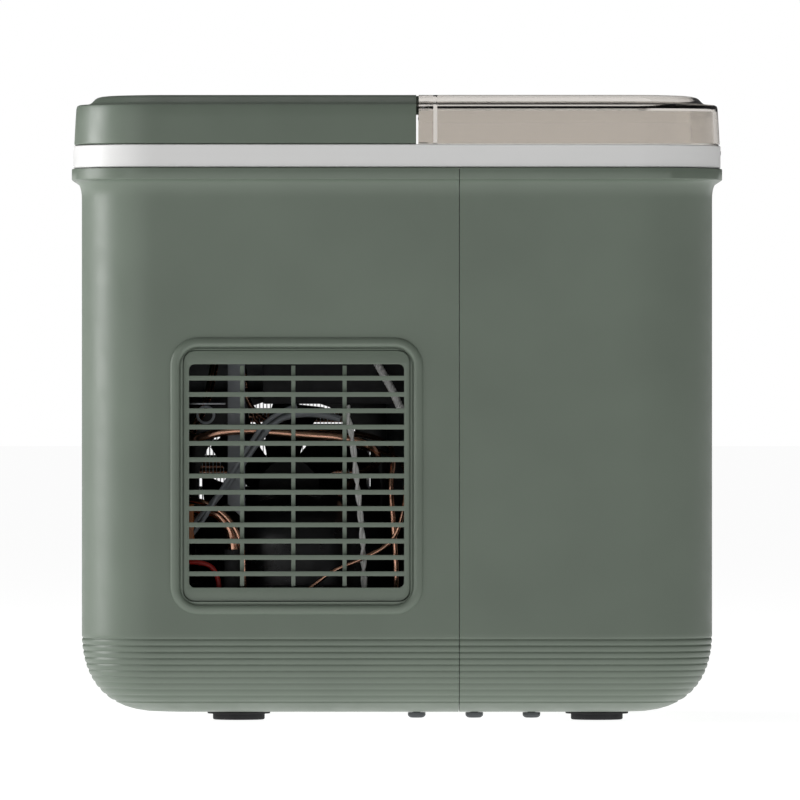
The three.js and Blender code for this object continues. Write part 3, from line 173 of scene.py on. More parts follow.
def apply_modifier(piece, kind, **settings):
    """Adds a modifier with its settings and applies it."""
    pick_only(piece)
    modifier = piece.modifiers.new(kind.title(), kind)
    for key, value in settings.items():
        setattr(modifier, key, value)
    bpy.ops.object.modifier_apply(modifier=modifier.name)


def combined(piece, tools, operation="DIFFERENCE"):
    """Cuts tools from a piece, or joins them to it, and removes them."""
    for tool in tools:
        apply_modifier(piece, "BOOLEAN", operation=operation, object=tool, solver="EXACT")
        bpy.data.objects.remove(tool)
    return piece


def welded(piece):
    """Join points that a cut left on the same spot."""
    edit(piece)
    bpy.ops.mesh.select_all(action="SELECT")
    bpy.ops.mesh.remove_doubles(threshold=0.005 * MM)
    close_edit()


def softened(piece, width, angle=40, segments=2):
    """Rounds the sharp edges of a piece."""
    apply_modifier(
        piece, "BEVEL", width=width, segments=segments, limit_method="ANGLE",
        angle_limit=math.radians(angle), use_clamp_overlap=True, harden_normals=False,
    )


def smooth(piece, angle=35):
    pick_only(piece)
    bpy.ops.object.shade_smooth_by_angle(angle=math.radians(angle))


def turned_to(piece, axis, place):
    """Lays a piece made about +Z along another axis and moves it to its place."""
    pick_only(piece)
    turns = {"X": ((0, 1, 0), 90), "Y": ((1, 0, 0), -90), "-Y": ((1, 0, 0), 90), "Z": ((0, 0, 1), 0)}
    around, degrees = turns[axis]
    turn = Matrix.Rotation(math.radians(degrees), 4, Vector(around))
    piece.data.transform(Matrix.Translation(place) @ turn)
    return piece


def slab(name, low, high, bevel=0.0, segments=3):
    """A box between two corners with rounded edges."""
    bpy.ops.object.select_all(action="DESELECT")
    centre = [(a + b) / 2 for a, b in zip(low, high)]
    bpy.ops.mesh.primitive_cube_add(size=1, location=(0, 0, 0))
    piece = bpy.context.object
    piece.name = name
    edit(piece)
    bpy.ops.mesh.select_all(action="SELECT")
    bpy.ops.transform.resize(value=[b - a for a, b in zip(low, high)], center_override=(0, 0, 0))
    bpy.ops.transform.translate(value=centre)
    if bevel:
        bpy.ops.mesh.bevel(offset=bevel, segments=segments, affect="EDGES", offset_type="OFFSET")
    close_edit()
    return piece


def tube(name, points, radius, resolution=6):
    """A round tube through points, as a smooth curve made into a mesh."""
    data = bpy.data.curves.new(name, "CURVE")
    data.dimensions = "3D"
    data.bevel_depth = radius
    data.bevel_resolution = 3
    data.use_fill_caps = True
    spline = data.splines.new("NURBS")
    spline.points.add(len(points) - 1)
    for point, place in zip(spline.points, points):
        point.co = (*place, 1)
    spline.order_u = 3
    spline.use_endpoint_u = True
    spline.resolution_u = resolution
    piece = bpy.data.objects.new(name, data)
    bpy.context.scene.collection.objects.link(piece)
    pick_only(piece)
    bpy.ops.object.convert(target="MESH")
    piece = bpy.context.object
    welded(piece)
    return piece


def twisted(name, points, radius, pitch, strands=2):
    """Strands wound round one another along points."""
    path = []
    for first, second in zip(points, points[1:]):
        count = max(2, round((second - first).length / (pitch / 8)))
        path += [(first.lerp(second, k / count), second - first) for k in range(count)]
    made = []
    for strand in range(strands):
        track, run = [], 0.0
        for place, along in path:
            side = along.cross(Vector((0, 1, 0))).normalized()
            turn = Matrix.Rotation(2 * math.pi * (run / 8 + strand / strands), 3, along)
            track.append(place + turn @ side * radius)
            run += 1
        made.append(tube(f"{name}_{strand + 1}", track, radius * 0.94, 2))
    pick_only(made[0])
    for piece in made:
        piece.select_set(True)
    bpy.ops.object.join()
    made[0].name = name
    return made[0]


def refined(node, width=0.3 * MM, angle=40, segments=2, suffix="_fine"):
    """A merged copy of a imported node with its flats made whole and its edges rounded."""
    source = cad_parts[node]
    piece = bpy.data.objects.new(node + suffix, source.data.copy())
    bpy.context.scene.collection.objects.link(piece)
    piece.data.materials.clear()
    edit(piece)
    bpy.ops.mesh.select_all(action="SELECT")
    bpy.ops.mesh.remove_doubles(threshold=0.004 * MM)
    bpy.ops.mesh.dissolve_limited(angle_limit=math.radians(0.6))
    bpy.ops.mesh.customdata_custom_splitnormals_clear()
    close_edit()
    if width:
        softened(piece, width, angle, segments)
    return piece


def finished(piece, material, body, nodes=(), angle=35):
    """Smooths a piece, gives it its material, and lets it ride on its body."""
    if angle:
        smooth(piece, angle)
    piece.data.materials.clear()
    piece.data.materials.append(MATERIALS[material])
    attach(piece, body)
    if nodes:
        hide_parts(*nodes)
    return piece


# ------------------------------------------------------------------ materials
MATERIALS = {}


class Shader:
    """Builds one node material on Object coordinates."""

    def __init__(self, name):
        self.material = bpy.data.materials.new(name)
        self.material.use_nodes = True
        self.tree = self.material.node_tree
        self.surface = self.tree.nodes["Principled BSDF"]
        self.coordinates = self.node("ShaderNodeTexCoord").outputs["Object"]
        MATERIALS[name] = self.material

    def node(self, kind, **settings):
        made = self.tree.nodes.new(kind)
        for key, value in settings.items():
            setattr(made, key, value)
        return made

    def link(self, source, target):
        self.tree.links.new(source, target)

    def put(self, **values):
        for key, value in values.items():
            self.surface.inputs[key.replace("_", " ")].default_value = value

    def stretched(self, scale):
        mapping = self.node("ShaderNodeMapping")
        mapping.inputs["Scale"].default_value = scale
        self.link(self.coordinates, mapping.inputs["Vector"])
        return mapping.outputs["Vector"]

    def noise(self, scale, detail=3, roughness=0.5, vector=None):
        made = self.node("ShaderNodeTexNoise")
        made.inputs["Scale"].default_value = scale
        made.inputs["Detail"].default_value = detail
        made.inputs["Roughness"].default_value = roughness
        self.link(vector or self.coordinates, made.inputs["Vector"])
        return made.outputs["Fac"]

    def ranged(self, value, low, high):
        made = self.node("ShaderNodeMapRange")
        made.inputs["From Min"].default_value = 0.3
        made.inputs["From Max"].default_value = 0.7
        made.inputs["To Min"].default_value = low
        made.inputs["To Max"].default_value = high
        self.link(value, made.inputs["Value"])
        return made.outputs["Result"]

    def tinted(self, value, first, second):
        made = self.node("ShaderNodeMix", data_type="RGBA")
        made.inputs["A"].default_value = (*first, 1)
        made.inputs["B"].default_value = (*second, 1)
        self.link(self.ranged(value, 0, 1), made.inputs["Factor"])
        return made.outputs["Result"]

    def bump(self, value, strength, distance, under=None):
        made = self.node("ShaderNodeBump")
        made.inputs["Strength"].default_value = strength
        made.inputs["Distance"].default_value = distance
        self.link(value, made.inputs["Height"])
        if under:
            self.link(under, made.inputs["Normal"])
        return made.outputs["Normal"]


def moulded(name, colour, roughness, grain=2600, depth=0.03, drift=0.05, **extra):
    """Moulded plastic: a fine spark grain, faint cloudiness and uneven gloss."""
    shader = Shader(name)
    cloud = shader.noise(22, 2)
    darker = tuple(part * (1 - drift) for part in colour)
    lighter = tuple(min(1, part * (1 + drift)) for part in colour)
    shader.link(shader.tinted(cloud, darker, lighter), shader.surface.inputs["Base Color"])
    gloss = shader.noise(90, 4)
    shader.link(
        shader.ranged(gloss, roughness - 0.05, roughness + 0.06), shader.surface.inputs["Roughness"]
    )
    fine = shader.bump(shader.noise(grain, 3, 0.6), 0.5, depth * MM)
    waves = shader.bump(shader.noise(38, 1), 0.12, 0.25 * MM, fine)
    shader.link(waves, shader.surface.inputs["Normal"])
    shader.put(**extra)


def metal(name, colour, roughness, stretch=(40, 40, 1500), depth=0.02, metallic=1.0, drift=0.1):
    """Drawn or rolled metal: streaks along one direction and slight staining."""
    shader = Shader(name)
    stain = shader.noise(60, 4, 0.6)
    darker = tuple(part * (1 - drift) for part in colour)
    lighter = tuple(min(1, part * (1 + drift)) for part in colour)
    shader.link(shader.tinted(stain, darker, lighter), shader.surface.inputs["Base Color"])
    streaks = shader.noise(1, 4, 0.6, shader.stretched(stretch))
    shader.link(
        shader.ranged(streaks, roughness - 0.08, roughness + 0.1), shader.surface.inputs["Roughness"]
    )
    shader.link(shader.bump(streaks, 0.4, depth * MM), shader.surface.inputs["Normal"])
    shader.put(Metallic=metallic)


def smoked(name, colour):
    """Clear smoked plastic with a polished face and a few fine scuffs."""
    shader = Shader(name)
    scuff = shader.noise(1, 5, 0.7, shader.stretched((30, 500, 90)))
    shader.link(shader.ranged(scuff, 0.015, 0.05), shader.surface.inputs["Roughness"])
    ripple = shader.bump(shader.noise(30, 1), 0.06, 0.2 * MM)
    shader.link(ripple, shader.surface.inputs["Normal"])
    shader.put(Base_Color=(*colour, 1), Transmission_Weight=1.0, IOR=1.49)


def rubber(name, colour):
    """Rubber with a dusty bloom and a coarse matt grain."""
    shader = Shader(name)
    bloom = shader.noise(120, 5, 0.7)
    dusty = tuple(part * 1.8 for part in colour)
    shader.link(shader.tinted(bloom, colour, dusty), shader.surface.inputs["Base Color"])
    shader.link(shader.bump(shader.noise(3200, 2), 0.6, 0.04 * MM), shader.surface.inputs["Normal"])
    shader.put(Roughness=0.82)


def make_materials(look):
    sage = tuple(look.sage)
    moulded("sage_plastic", sage, 0.40)
    moulded("white_plastic", (0.87, 0.87, 0.86), 0.36, grain=3000, depth=0.02, drift=0.015)
    moulded("black_plastic", (0.016, 0.017, 0.018), 0.42, depth=0.05, drift=0.2)
    moulded("panel_black", (0.012, 0.012, 0.013), 0.16, grain=4000, depth=0.01, drift=0.2)
    moulded("grey_plastic", (0.46, 0.475, 0.49), 0.42, depth=0.02, drift=0.03)
    moulded("pale_plastic", (0.66, 0.665, 0.67), 0.38, depth=0.02, drift=0.02)
    moulded("trim_grey", (0.055, 0.057, 0.062), 0.3, depth=0.02, drift=0.1)
    moulded("wire_white", (0.9, 0.9, 0.88), 0.45, depth=0.02, drift=0.03)
    moulded("wire_grey", (0.20, 0.215, 0.23), 0.5, depth=0.02, drift=0.08)
    moulded("wire_red", (0.42, 0.02, 0.015), 0.4, depth=0.02, drift=0.08)
    moulded("amber_block", (0.42, 0.13, 0.03), 0.45, depth=0.02, drift=0.1)
    moulded("black_paint", (0.011, 0.0115, 0.013), 0.3, grain=900, depth=0.08, drift=0.15)
    moulded("circuit_green", (0.012, 0.075, 0.03), 0.35, grain=1200, depth=0.04, drift=0.3)
    smoked("smoked_clear", tuple(look.smoke))
    rubber("black_rubber", (0.014, 0.014, 0.015))
    metal("bare_steel", (0.50, 0.52, 0.55), 0.32)
    metal("fin_metal", (0.72, 0.73, 0.75), 0.36, depth=0.01)
    metal("copper_tube", (0.84, 0.47, 0.33), 0.2, depth=0.01, drift=0.2)
    metal("dark_steel", (0.10, 0.105, 0.11), 0.4)


# ------------------------------------------------------------------ case
def undercut(share):
    """A point [inset, z] of the curve under the body, from the foot plane up."""
    top = FOOT_HEIGHT + UNDERCUT_HEIGHT
    points = (
        (BODY_INSET + UNDERCUT_DEPTH, FOOT_HEIGHT),
        (BODY_INSET + 10 * MM, FOOT_HEIGHT),
        (BODY_INSET, FOOT_HEIGHT + 16.1 * MM),
        (BODY_INSET, top),
    )
    weights = ((1 - share) ** 3, 3 * (1 - share) ** 2 * share, 3 * (1 - share) * share ** 2, share ** 3)
    return [sum(w * p[k] for w, p in zip(weights, points)) for k in (0, 1)]


def undercut_at(z):
    """The inset and the inward normal of the undercut at a height."""
    low, high = 0.0, 1.0
    for _ in range(30):
        middle = (low + high) / 2
        low, high = (middle, high) if undercut(middle)[1] < z else (low, middle)
    before, after = undercut(max(low - 0.01, 0)), undercut(min(low + 0.01, 1))
    slope = Vector((after[0] - before[0], after[1] - before[1])).normalized()
    return undercut(low)[0], Vector((slope.y, -slope.x))


def ribbed_profile(look):
    """The foot band: grooves between soft ribs, from the foot plane to the plain wall."""
    points = [undercut(share) for share in (0, 0.08, 0.16, 0.24, 0.32)]
    cuts = (
        (-1.46, -0.1), (-0.95, 0.0), (-0.62, 0.16), (-0.34, 0.72), (0, 1.0),
        (0.34, 0.72), (0.62, 0.16), (0.95, 0.0),
    )
    for row in range(look.groove_count - 1, -1, -1):
        centre = look.groove_top - row * look.groove_pitch
        for offset, depth in cuts:
            z = centre + offset * MM
            inset, inward = undercut_at(z)
            push = inward * (depth * look.groove_depth)
            if z + push.y > points[-1][1] + 0.05 * MM:
                points.append([inset + push.x, z + push.y])
    points.append([BODY_INSET, FOOT_HEIGHT + UNDERCUT_HEIGHT + 0.8 * MM])
    return points


def lip_profile():
    """The flare and the straight lip above the plain wall."""
    start, bend, end = (BODY_INSET, BODY_TOP), (BODY_INSET, LIP_TOP - LIP_HEIGHT), (0, LIP_TOP - LIP_HEIGHT)
    points = []
    for step in range(9):
        t = step / 8
        points.append([
            (1 - t) ** 2 * start[k] + 2 * t * (1 - t) * bend[k] + t * t * end[k] for k in (0, 1)
        ])
    points[-1][0] = 0.25 * MM
    points += [[0.02 * MM, LIP_TOP - LIP_HEIGHT + 0.4 * MM], [0.02 * MM, LIP_TOP - 0.5 * MM]]
    return points + [[0.15 * MM, LIP_TOP - 0.12 * MM], [0.5 * MM, LIP_TOP]]


def hollow_profile():
    """The inner face of the case wall, from the floor up past the open top."""
    points = []
    for step in range(13):
        inset, z = undercut(step / 12)
        inward = undercut_at(z)[1]
        points.append([inset + inward.x * WALL, z + inward.y * WALL])
    return points + [[BODY_INSET + WALL, LIP_TOP + 4 * MM]]


def case_outline(inset, z, steps=16):
    radius = LIP_RADIUS - RADIUS_PER_INSET * inset
    return rounded(HALF_LENGTH - inset, HALF_WIDTH - inset, radius, z, steps=steps)


def split(piece, x, keep_front, fill=False):
    """Keeps the part of a piece on one side of a cross plane."""
    edit(piece)
    bpy.ops.mesh.select_all(action="SELECT")
    bpy.ops.mesh.bisect(
        plane_co=(x, 0, 0), plane_no=(1, 0, 0), use_fill=fill,
        clear_inner=keep_front, clear_outer=not keep_front,
    )
    close_edit()
    return piece


def duplicate(piece, name):
    copy = bpy.data.objects.new(name, piece.data.copy())
    bpy.context.scene.collection.objects.link(copy)
    return copy


def side_outline(name, levels, centre=VENT, steps=10):
    """A rounded plate standing in the XZ plane, from (half x, half z, radius, y) levels."""
    outlines = [rounded(hx, hz, r, -y, steps=steps) for hx, hz, r, y in levels]
    piece = stacked(name, outlines)
    piece.data.transform(Matrix.Translation((centre.x, 0, centre.z)) @ Matrix.Rotation(math.pi / 2, 4, "X"))
    return piece


def rod(name, radius, low, high, axis, place, steps=32):
    """A cutter or a core: a round bar between two distances along an axis."""
    ends = [circle(radius, z, steps=steps) for z in (low, high)]
    return turned_to(stacked(name, ends), axis, place)


class IceMakerLook(bpy.types.PropertyGroup):
    """Sizes and colours that a user would change."""

    sage: bpy.props.FloatVectorProperty(
        name="Case colour", description="Colour of the moulded case", default=(0.159, 0.196, 0.155),
        subtype="COLOR", min=0, max=1,
    )
    smoke: bpy.props.FloatVectorProperty(
        name="Lid tint", description="Tint of the clear lid, for each face that light crosses",
        default=(0.68, 0.645, 0.603), subtype="COLOR", min=0, max=1,
    )
    groove_count: bpy.props.IntProperty(
        name="Grooves", description="Grooves round the foot of the case", default=11, min=1, max=12
    )
    groove_pitch: bpy.props.FloatProperty(
        name="Groove pitch", description="Distance between grooves", default=2.93 * MM,
        unit="LENGTH", precision=5,
    )
    groove_depth: bpy.props.FloatProperty(
        name="Groove depth", description="Depth of each groove", default=0.38 * MM,
        unit="LENGTH", precision=5,
    )
    groove_top: bpy.props.FloatProperty(
        name="Top groove", description="Height of the highest groove", default=38.2 * MM,
        unit="LENGTH", precision=5,
    )


class ICE_OT_housing(bpy.types.Operator):
    """Make the two halves of the case with ribs, vent beads and rear openings"""

    bl_idname = "ice_maker.housing"
    bl_label = "Case halves"

    def execute(self, context):
        look = context.scene.ice_maker_look
        profile = ribbed_profile(look) + [[BODY_INSET, 60 * MM], [BODY_INSET, 200 * MM]] + lip_profile()
        outside = stacked("outside", [case_outline(*point) for point in profile])
        inside = stacked("inside", [case_outline(*point) for point in hollow_profile()])
        opening = stacked("floor_opening", [
            rounded(70 * MM, 40 * MM, 10 * MM, z) for z in (0, 9 * MM)
        ])
        front, rear = [
            combined(
                split(duplicate(outside, name), x, keep_front, True),
                [duplicate(inside, "hollow"), duplicate(opening, "hole")],
            )
            for name, x, keep_front in (
                ("front_case", SEAM_X + SEAM_GAP / 2, True), ("rear_case", SEAM_X - SEAM_GAP / 2, False),
            )
        ]
        for shape in (outside, inside, opening):
            bpy.data.objects.remove(shape)
        wall = HALF_WIDTH - BODY_INSET
        combined(rear, [self.bead(side, wall) for side in (-1, 1)], "UNION")
        half = VENT_HALF + Vector((0.3, 0, 0.3)) * MM
        through = side_outline("vent_hole", [
            (half.x, half.z, 5.6 * MM, y) for y in (wall + 3 * MM, -wall - 3 * MM)
        ])
        combined(rear, [through, *self.rear_cutters()])
        welded(rear)
        for piece, node in ((front, "front_housing"), (rear, "rear_housing")):
            finished(piece, "sage_plastic", "case", [node], 32)
        return {"FINISHED"}

    def bead(self, side, wall):
        """The raised rim round one side vent, with its mouth cut out."""
        crown = ((0, -1.0), (0, 0.3), (-0.35, 0.85), (-0.9, 1.25), (-1.6, 1.5), (-2.4, 1.6))
        mouth = ((-4.4, 0.02), (-4.3, 0.5), (-3.9, 1.1), (-3.4, 1.45), (-2.9, 1.6), (-2.6, 2.0))
        ridge = ((-4.9, -1.0), (-4.9, 0.55), (-5.05, 0.8), (-5.4, 0.9))
        rim, hole, inner = [
            side_outline(name, [
                ((57.9 + grow) * MM, (63.39 + grow) * MM, (13 + grow) * MM, (wall + y * MM) * side)
                for grow, y in levels
            ]) for name, levels in (("bead", crown), ("mouth", mouth), ("ridge", ridge))
        ]
        return combined(combined(rim, [hole]), [inner], "UNION")

    def rear_cutters(self):
        rear = -(HALF_LENGTH - BODY_INSET)
        return [
            slab(
                "inlet_hole", (rear - 3 * MM, -52.3 * MM, 50.7 * MM),
                (rear + 4 * MM, -27.7 * MM, 69.3 * MM), 0.8 * MM,
            ),
            rod("drain_hole", 11 * MM, rear - 4 * MM, rear + 3.4 * MM, "X", Vector((0, 52 * MM, 26 * MM))),
        ]


class ICE_OT_band(bpy.types.Operator):
    """Make the white band between the case and the covers"""

    bl_idname = "ice_maker.band"
    bl_label = "White band"

    def execute(self, context):
        band, sunk = [
            stacked(name, [case_outline(inset * MM, z * MM, 12) for inset, z in levels]) for name, levels in (
                ("white_band", ((1.1, 254.6), (0.75, 254.95), (0.75, 264.5), (1.1, 264.9))),
                ("sunk", ((4.7, 257.0), (4.7, 264.5), (4.3, 264.9), (4.0, 265.2))),
            )
        ]
        mouth = stacked("mouth", [
            rounded((93 + flare) * MM, (96 + flare) * MM, (24 + flare) * MM, z * MM, (39.5 * MM, 0))
            for flare, z in ((0, 250), (0, 256.5), (1, 257.5))
        ])
        combined(band, [sunk, mouth])
        finished(band, "white_plastic", "case", ["top_frame"])
        badge = refined("front_badge", 0.35 * MM, 30, 3)
        finished(badge, "trim_grey", "case", ["front_badge"])
        return {"FINISHED"}


COVER_SHOULDER = (
    (1.5, 265.3), (1.15, 265.7), (1.75, 277), (2.1, 282.0), (2.45, 283.1), (3.4, 283.65), (7.0, 283.95),
    (8.4, 284.3), (9.3, 285.0), (10.7, 286.45), (11.8, 287.15), (13.4, 287.6), (15.6, 287.85), (18.1, 287.95),
)
COVER_HOLLOW = (
    (4.0, 264.0), (4.6, 280.2), (5.5, 281.2), (8.0, 281.5), (9.5, 282.0), (11.5, 283.3), (14.5, 285.0),
    (19.0, 285.45),
)


def cover_solid(name, levels, x, keep_front):
    """The covers' outline or their hollow, on one side of a cross plane."""
    solid = stacked(name, [case_outline(inset * MM, z * MM) for inset, z in levels])
    return split(solid, x * MM, keep_front, True)


class ICE_OT_rear_cover(bpy.types.Operator):
    """Make the rear cover with its panel recess, key holes and hinge knuckles"""

    bl_idname = "ice_maker.rear_cover"
    bl_label = "Rear cover"

    def execute(self, context):
        skin = cover_solid("rear_cover_shell", COVER_SHOULDER, 8.8, False)
        combined(skin, [cover_solid("hollow", COVER_HOLLOW, 6.3, False)])
        recess = stacked("recess", [
            rounded(30.3 * MM, 45.3 * MM, 6.3 * MM, z, (-45 * MM, 0)) for z in (286.6 * MM, 289 * MM)
        ])
        holes = [
            rod("key_hole", 7.6 * MM, 280 * MM, 290 * MM, "Z", Vector((-35 * MM, y * MM, 0)))
            for y in (-18, 18)
        ]
        knuckles = []
        for side in (-1, 1):
            low, high = sorted((69.7 * MM * side, 84.3 * MM * side))
            knuckles.append(slab("arm", (6 * MM, low, 283.4 * MM), (12.2 * MM, high, 287.8 * MM), 0.3 * MM))
            knuckles.append(rod("knuckle", 2.2 * MM, low, high, "Y", Vector((12.2 * MM, 0, 285.6 * MM)), 24))
        combined(skin, [recess, *holes])
        combined(skin, knuckles, "UNION")
        finished(skin, "sage_plastic", "case", ["rear_cover"], 32)
        for node in ("hinge_pin_right", "hinge_pin_left"):
            finished(refined(node, 0.2 * MM, 60), "bare_steel", "case", [node], 50)
        return {"FINISHED"}


class ICE_OT_clear_lid(bpy.types.Operator):
    """Make the clear lid with its sunk tray, rear web and hinge bosses"""

    bl_idname = "ice_maker.clear_lid"
    bl_label = "Clear lid"

    def execute(self, context):
        skin = cover_solid("clear_lid", COVER_SHOULDER, 10, True)
        combined(skin, [
            cover_solid("hollow", COVER_HOLLOW, 18.5, True),
            cover_solid("channel", COVER_HOLLOW, 16.7, False),
        ])
        tray = stacked("tray_block", [
            rounded(hx * MM, hy * MM, r * MM, z * MM, (68 * MM, 0)) for hx, hy, r, z in (
                (43.2, 47.2, 9.5, 281.1), (44, 48, 10, 282), (44, 48, 10, 287.4))
        ])
        bosses = [
            rod(
                "boss", 2.2 * MM, *sorted((low * MM * side, high * MM * side)), "Y",
                Vector((12.2 * MM, 0, 285.6 * MM)), 24,
            )
            for side in (-1, 1) for low, high in ((60, 69.2), (84.8, 94))
        ]
        recess = stacked("recess", [
            rounded(hx * MM, hy * MM, r * MM, z * MM, (68 * MM, 0)) for hx, hy, r, z in (
                (36.5, 41, 5.5, 283.6), (37.6, 42.1, 6.4, 284.0), (40.6, 44.6, 8.8, 287.4),
                (42, 46, 10, 288.6))
        ])
        notches = [
            slab("notch", (9 * MM, low * MM, 280 * MM), (15.2 * MM, high * MM, 289 * MM), 0.6 * MM)
            for low, high in ((-84.6, -69.4), (69.4, 84.6))
        ]
        combined(skin, [tray, *bosses], "UNION")
        combined(skin, [recess, *notches])
        finished(skin, "smoked_clear", "lid", ["front_lid"], 32)
        return {"FINISHED"}


class ICE_OT_grilles(bpy.types.Operator):
    """Make the louvred panels of the side vents"""

    bl_idname = "ice_maker.grilles"
    bl_label = "Vent grilles"

    def execute(self, context):
        for side, node in ((-1, "vent_grille_right"), (1, "vent_grille_left")):
            grille = refined(node, 0.45 * MM, 50, 3)
            combined(grille, self.corners(side), "UNION")
            finished(grille, "sage_plastic", "case", [node])
        return {"FINISHED"}

    def corners(self, side):
        """Fillets in the four corners of the louvred window."""
        radius, overlap, made = 2.6, 0.3, []
        near, far = sorted((104.6 * side, 107.8 * side))
        for x, across in ((-95.3, 1), (3.3, -1)):
            x0, x1 = sorted((x - overlap * across, x + radius * across))
            for z, up in ((61.785, 1), (164.215, -1)):
                z0, z1 = sorted((z - overlap * up, z + radius * up))
                fillet = slab("fillet", (x0 * MM, near * MM, z0 * MM), (x1 * MM, far * MM, z1 * MM))
                centre = Vector((x + radius * across, 0, z + radius * up)) * MM
                made.append(combined(fillet, [rod("round", radius * MM, -115 * MM, 115 * MM, "Y", centre)]))
        return made


class ICE_OT_controls(bpy.types.Operator):
    """Make the key panel and its two keys"""

    bl_idname = "ice_maker.controls"
    bl_label = "Keys and panel"

    def execute(self, context):
        panel = refined("control_panel", 0.3 * MM, 40, 2)
        finished(panel, "panel_black", "case", ["control_panel"])
        for node, body, y in (("power_button", "power_key", -18), ("size_button", "size_key", 18)):
            place = (-35 * MM, y * MM)
            profile = (
                (2, 282.9), (2, 283.6), (8.5, 283.6), (8.5, 285.2), (7, 285.2), (7, 287.3), (6.8, 287.7),
                (6.3, 287.85), (5, 287.8), (3, 287.6),
            )
            key = stacked(node + "_fine", [circle(r * MM, z * MM, place) for r, z in profile])
            finished(key, "pale_plastic", body, [node])
        for row in range(4):
            lamp = stacked(f"lamp_{row + 1}", [
                circle(r * MM, z * MM, (-58 * MM, (row * 15 - 22.5) * MM), 24)
                for r, z in ((1.5, 287.5), (1.5, 287.8), (1.1, 287.95))
            ])
            finished(lamp, "wire_white", "case", ())
        board = refined("button_board", 0.1 * MM)
        finished(board, "circuit_green", "case", ["button_board"])
        return {"FINISHED"}


class ICE_OT_underside(bpy.types.Operator):
    """Make the feet, the screws and the base plate"""

    bl_idname = "ice_maker.underside"
    bl_label = "Underside"

    def execute(self, context):
        for number in range(1, 5):
            node = f"foot_{number}"
            low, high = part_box(node)
            place = ((low.x + high.x) / 2, (low.y + high.y) / 2)
            profile = (
                (9.0, 0.35), (9.4, 0), (11.3, 0), (11.75, 0.15), (12, 0.6), (12, 2.7), (14.3, 2.8),
                (14.5, 3.0), (14.5, 3.6), (4, 3.6), (4, 6.1),
            )
            foot = stacked(node + "_fine", [circle(r * MM, z * MM, place, 40) for r, z in profile])
            finished(foot, "black_rubber", "case", [node])
        for number in range(1, 7):
            node = f"base_screw_{number}"
            low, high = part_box(node)
            place = ((low.x + high.x) / 2, (low.y + high.y) / 2)
            profile = (
                (2.4, 1.1), (3.2, 1.25), (4.0, 2.0), (4.1, 2.4), (4.1, 3.6), (1.8, 3.6), (1.8, 10.2),
                (0.9, 10.9),
            )
            screw = stacked(node + "_fine", [circle(r * MM, z * MM, place, 24) for r, z in profile])
            cross = [
                slab(
                    "slot", (place[0] - a * MM, place[1] - b * MM, 0.5 * MM),
                    (place[0] + a * MM, place[1] + b * MM, 2.2 * MM),
                )
                for a, b in ((2.0, 0.4), (0.4, 2.0))
            ]
            finished(combined(screw, cross), "dark_steel", "case", [node])
        finished(refined("base_plate", 0.2 * MM), "bare_steel", "case", ["base_plate"])
        return {"FINISHED"}


CAD_PIECES = (
    ("tank", "white_plastic", "case", "white_plastic", 0.5, 50),
    ("tank_sump", "white_plastic", "case", "white_plastic", 0.5, 50),
    ("tank_insulation", "black_rubber", "case", "black_rubber", 1.0, 50),
    ("ice_basket", "grey_plastic", "basket", "grey_plastic", 0.5, 50),
    ("ice_scoop", "pale_plastic", "scoop", "grey_plastic", 0.4, 50),
    ("evaporator_holder", "grey_plastic", "case", "grey_plastic", 0.4, 50),
    ("tray_motor", "black_plastic", "case", "black_plastic", 0.8, 50),
    ("water_tray", "white_plastic", "tray", "white_plastic", 0.3, 50),
    ("ice_rake", "white_plastic", "rake", "white_plastic", 0.5, 50),
    ("terminal_cover", "black_plastic", "case", "black_plastic", 1.2, 50),
    ("compressor_bracket", "bare_steel", "case", "steel", 0.3, 50),
    ("fan_frame", "black_plastic", "case", "black_plastic", 0.6, 50),
    ("fan_rotor", "black_plastic", "fan", "black_plastic", 0.25, 50),
    ("fan_bracket", "dark_steel", "case", "steel", 0.2, 50),
    ("hanger_strip", "wire_grey", "case", "steel", 0.2, 50),
    ("filter_drier", "copper_tube", "case", "copper", 0.8, 20),
    ("water_pump", "black_plastic", "case", "black_plastic", 0.8, 30),
    ("control_board", "circuit_green", "case", "circuit_board", 0.3, 50),
    ("power_inlet", "black_plastic", "case", "black_plastic", 0.5, 50),
    ("inlet_pins", "bare_steel", "case", "steel", 0.4, 50),
    ("drain_fitting", "grey_plastic", "case", "grey_plastic", 0.4, 50),
    ("drain_plug", "black_rubber", "plug", "black_rubber", 0.6, 50),
    ("evaporator", "bare_steel", "case", "steel", 0.3, 60),
)


class ICE_OT_inner_works(bpy.types.Operator):
    """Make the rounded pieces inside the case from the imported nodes"""

    bl_idname = "ice_maker.inner_works"
    bl_label = "Inner works"

    def execute(self, context):
        for node, material, body, slot, width, angle in CAD_PIECES:
            finished(refined(node, width * MM, angle), material, body, [node])
        self.compressor()
        return {"FINISHED"}

    def compressor(self):
        centre = (-46 * MM, -25 * MM)
        profile = (
            (36, 15), (42, 17.5), (45.5, 21.5), (47.5, 26), (48, 31), (48, 57.6), (50.6, 57.8), (51, 58.3),
            (51, 61.7), (50.6, 62.2), (48, 62.4), (48, 80), (47.2, 85.5), (45, 91), (41, 95.5), (35, 98.8),
            (27, 101.4), (18, 103.3), (8, 104.3),
        )
        pot = stacked("compressor_pot", [circle(r * MM, z * MM, centre, 64) for r, z in profile])
        finished(pot, "black_paint", "case", ["compressor"])


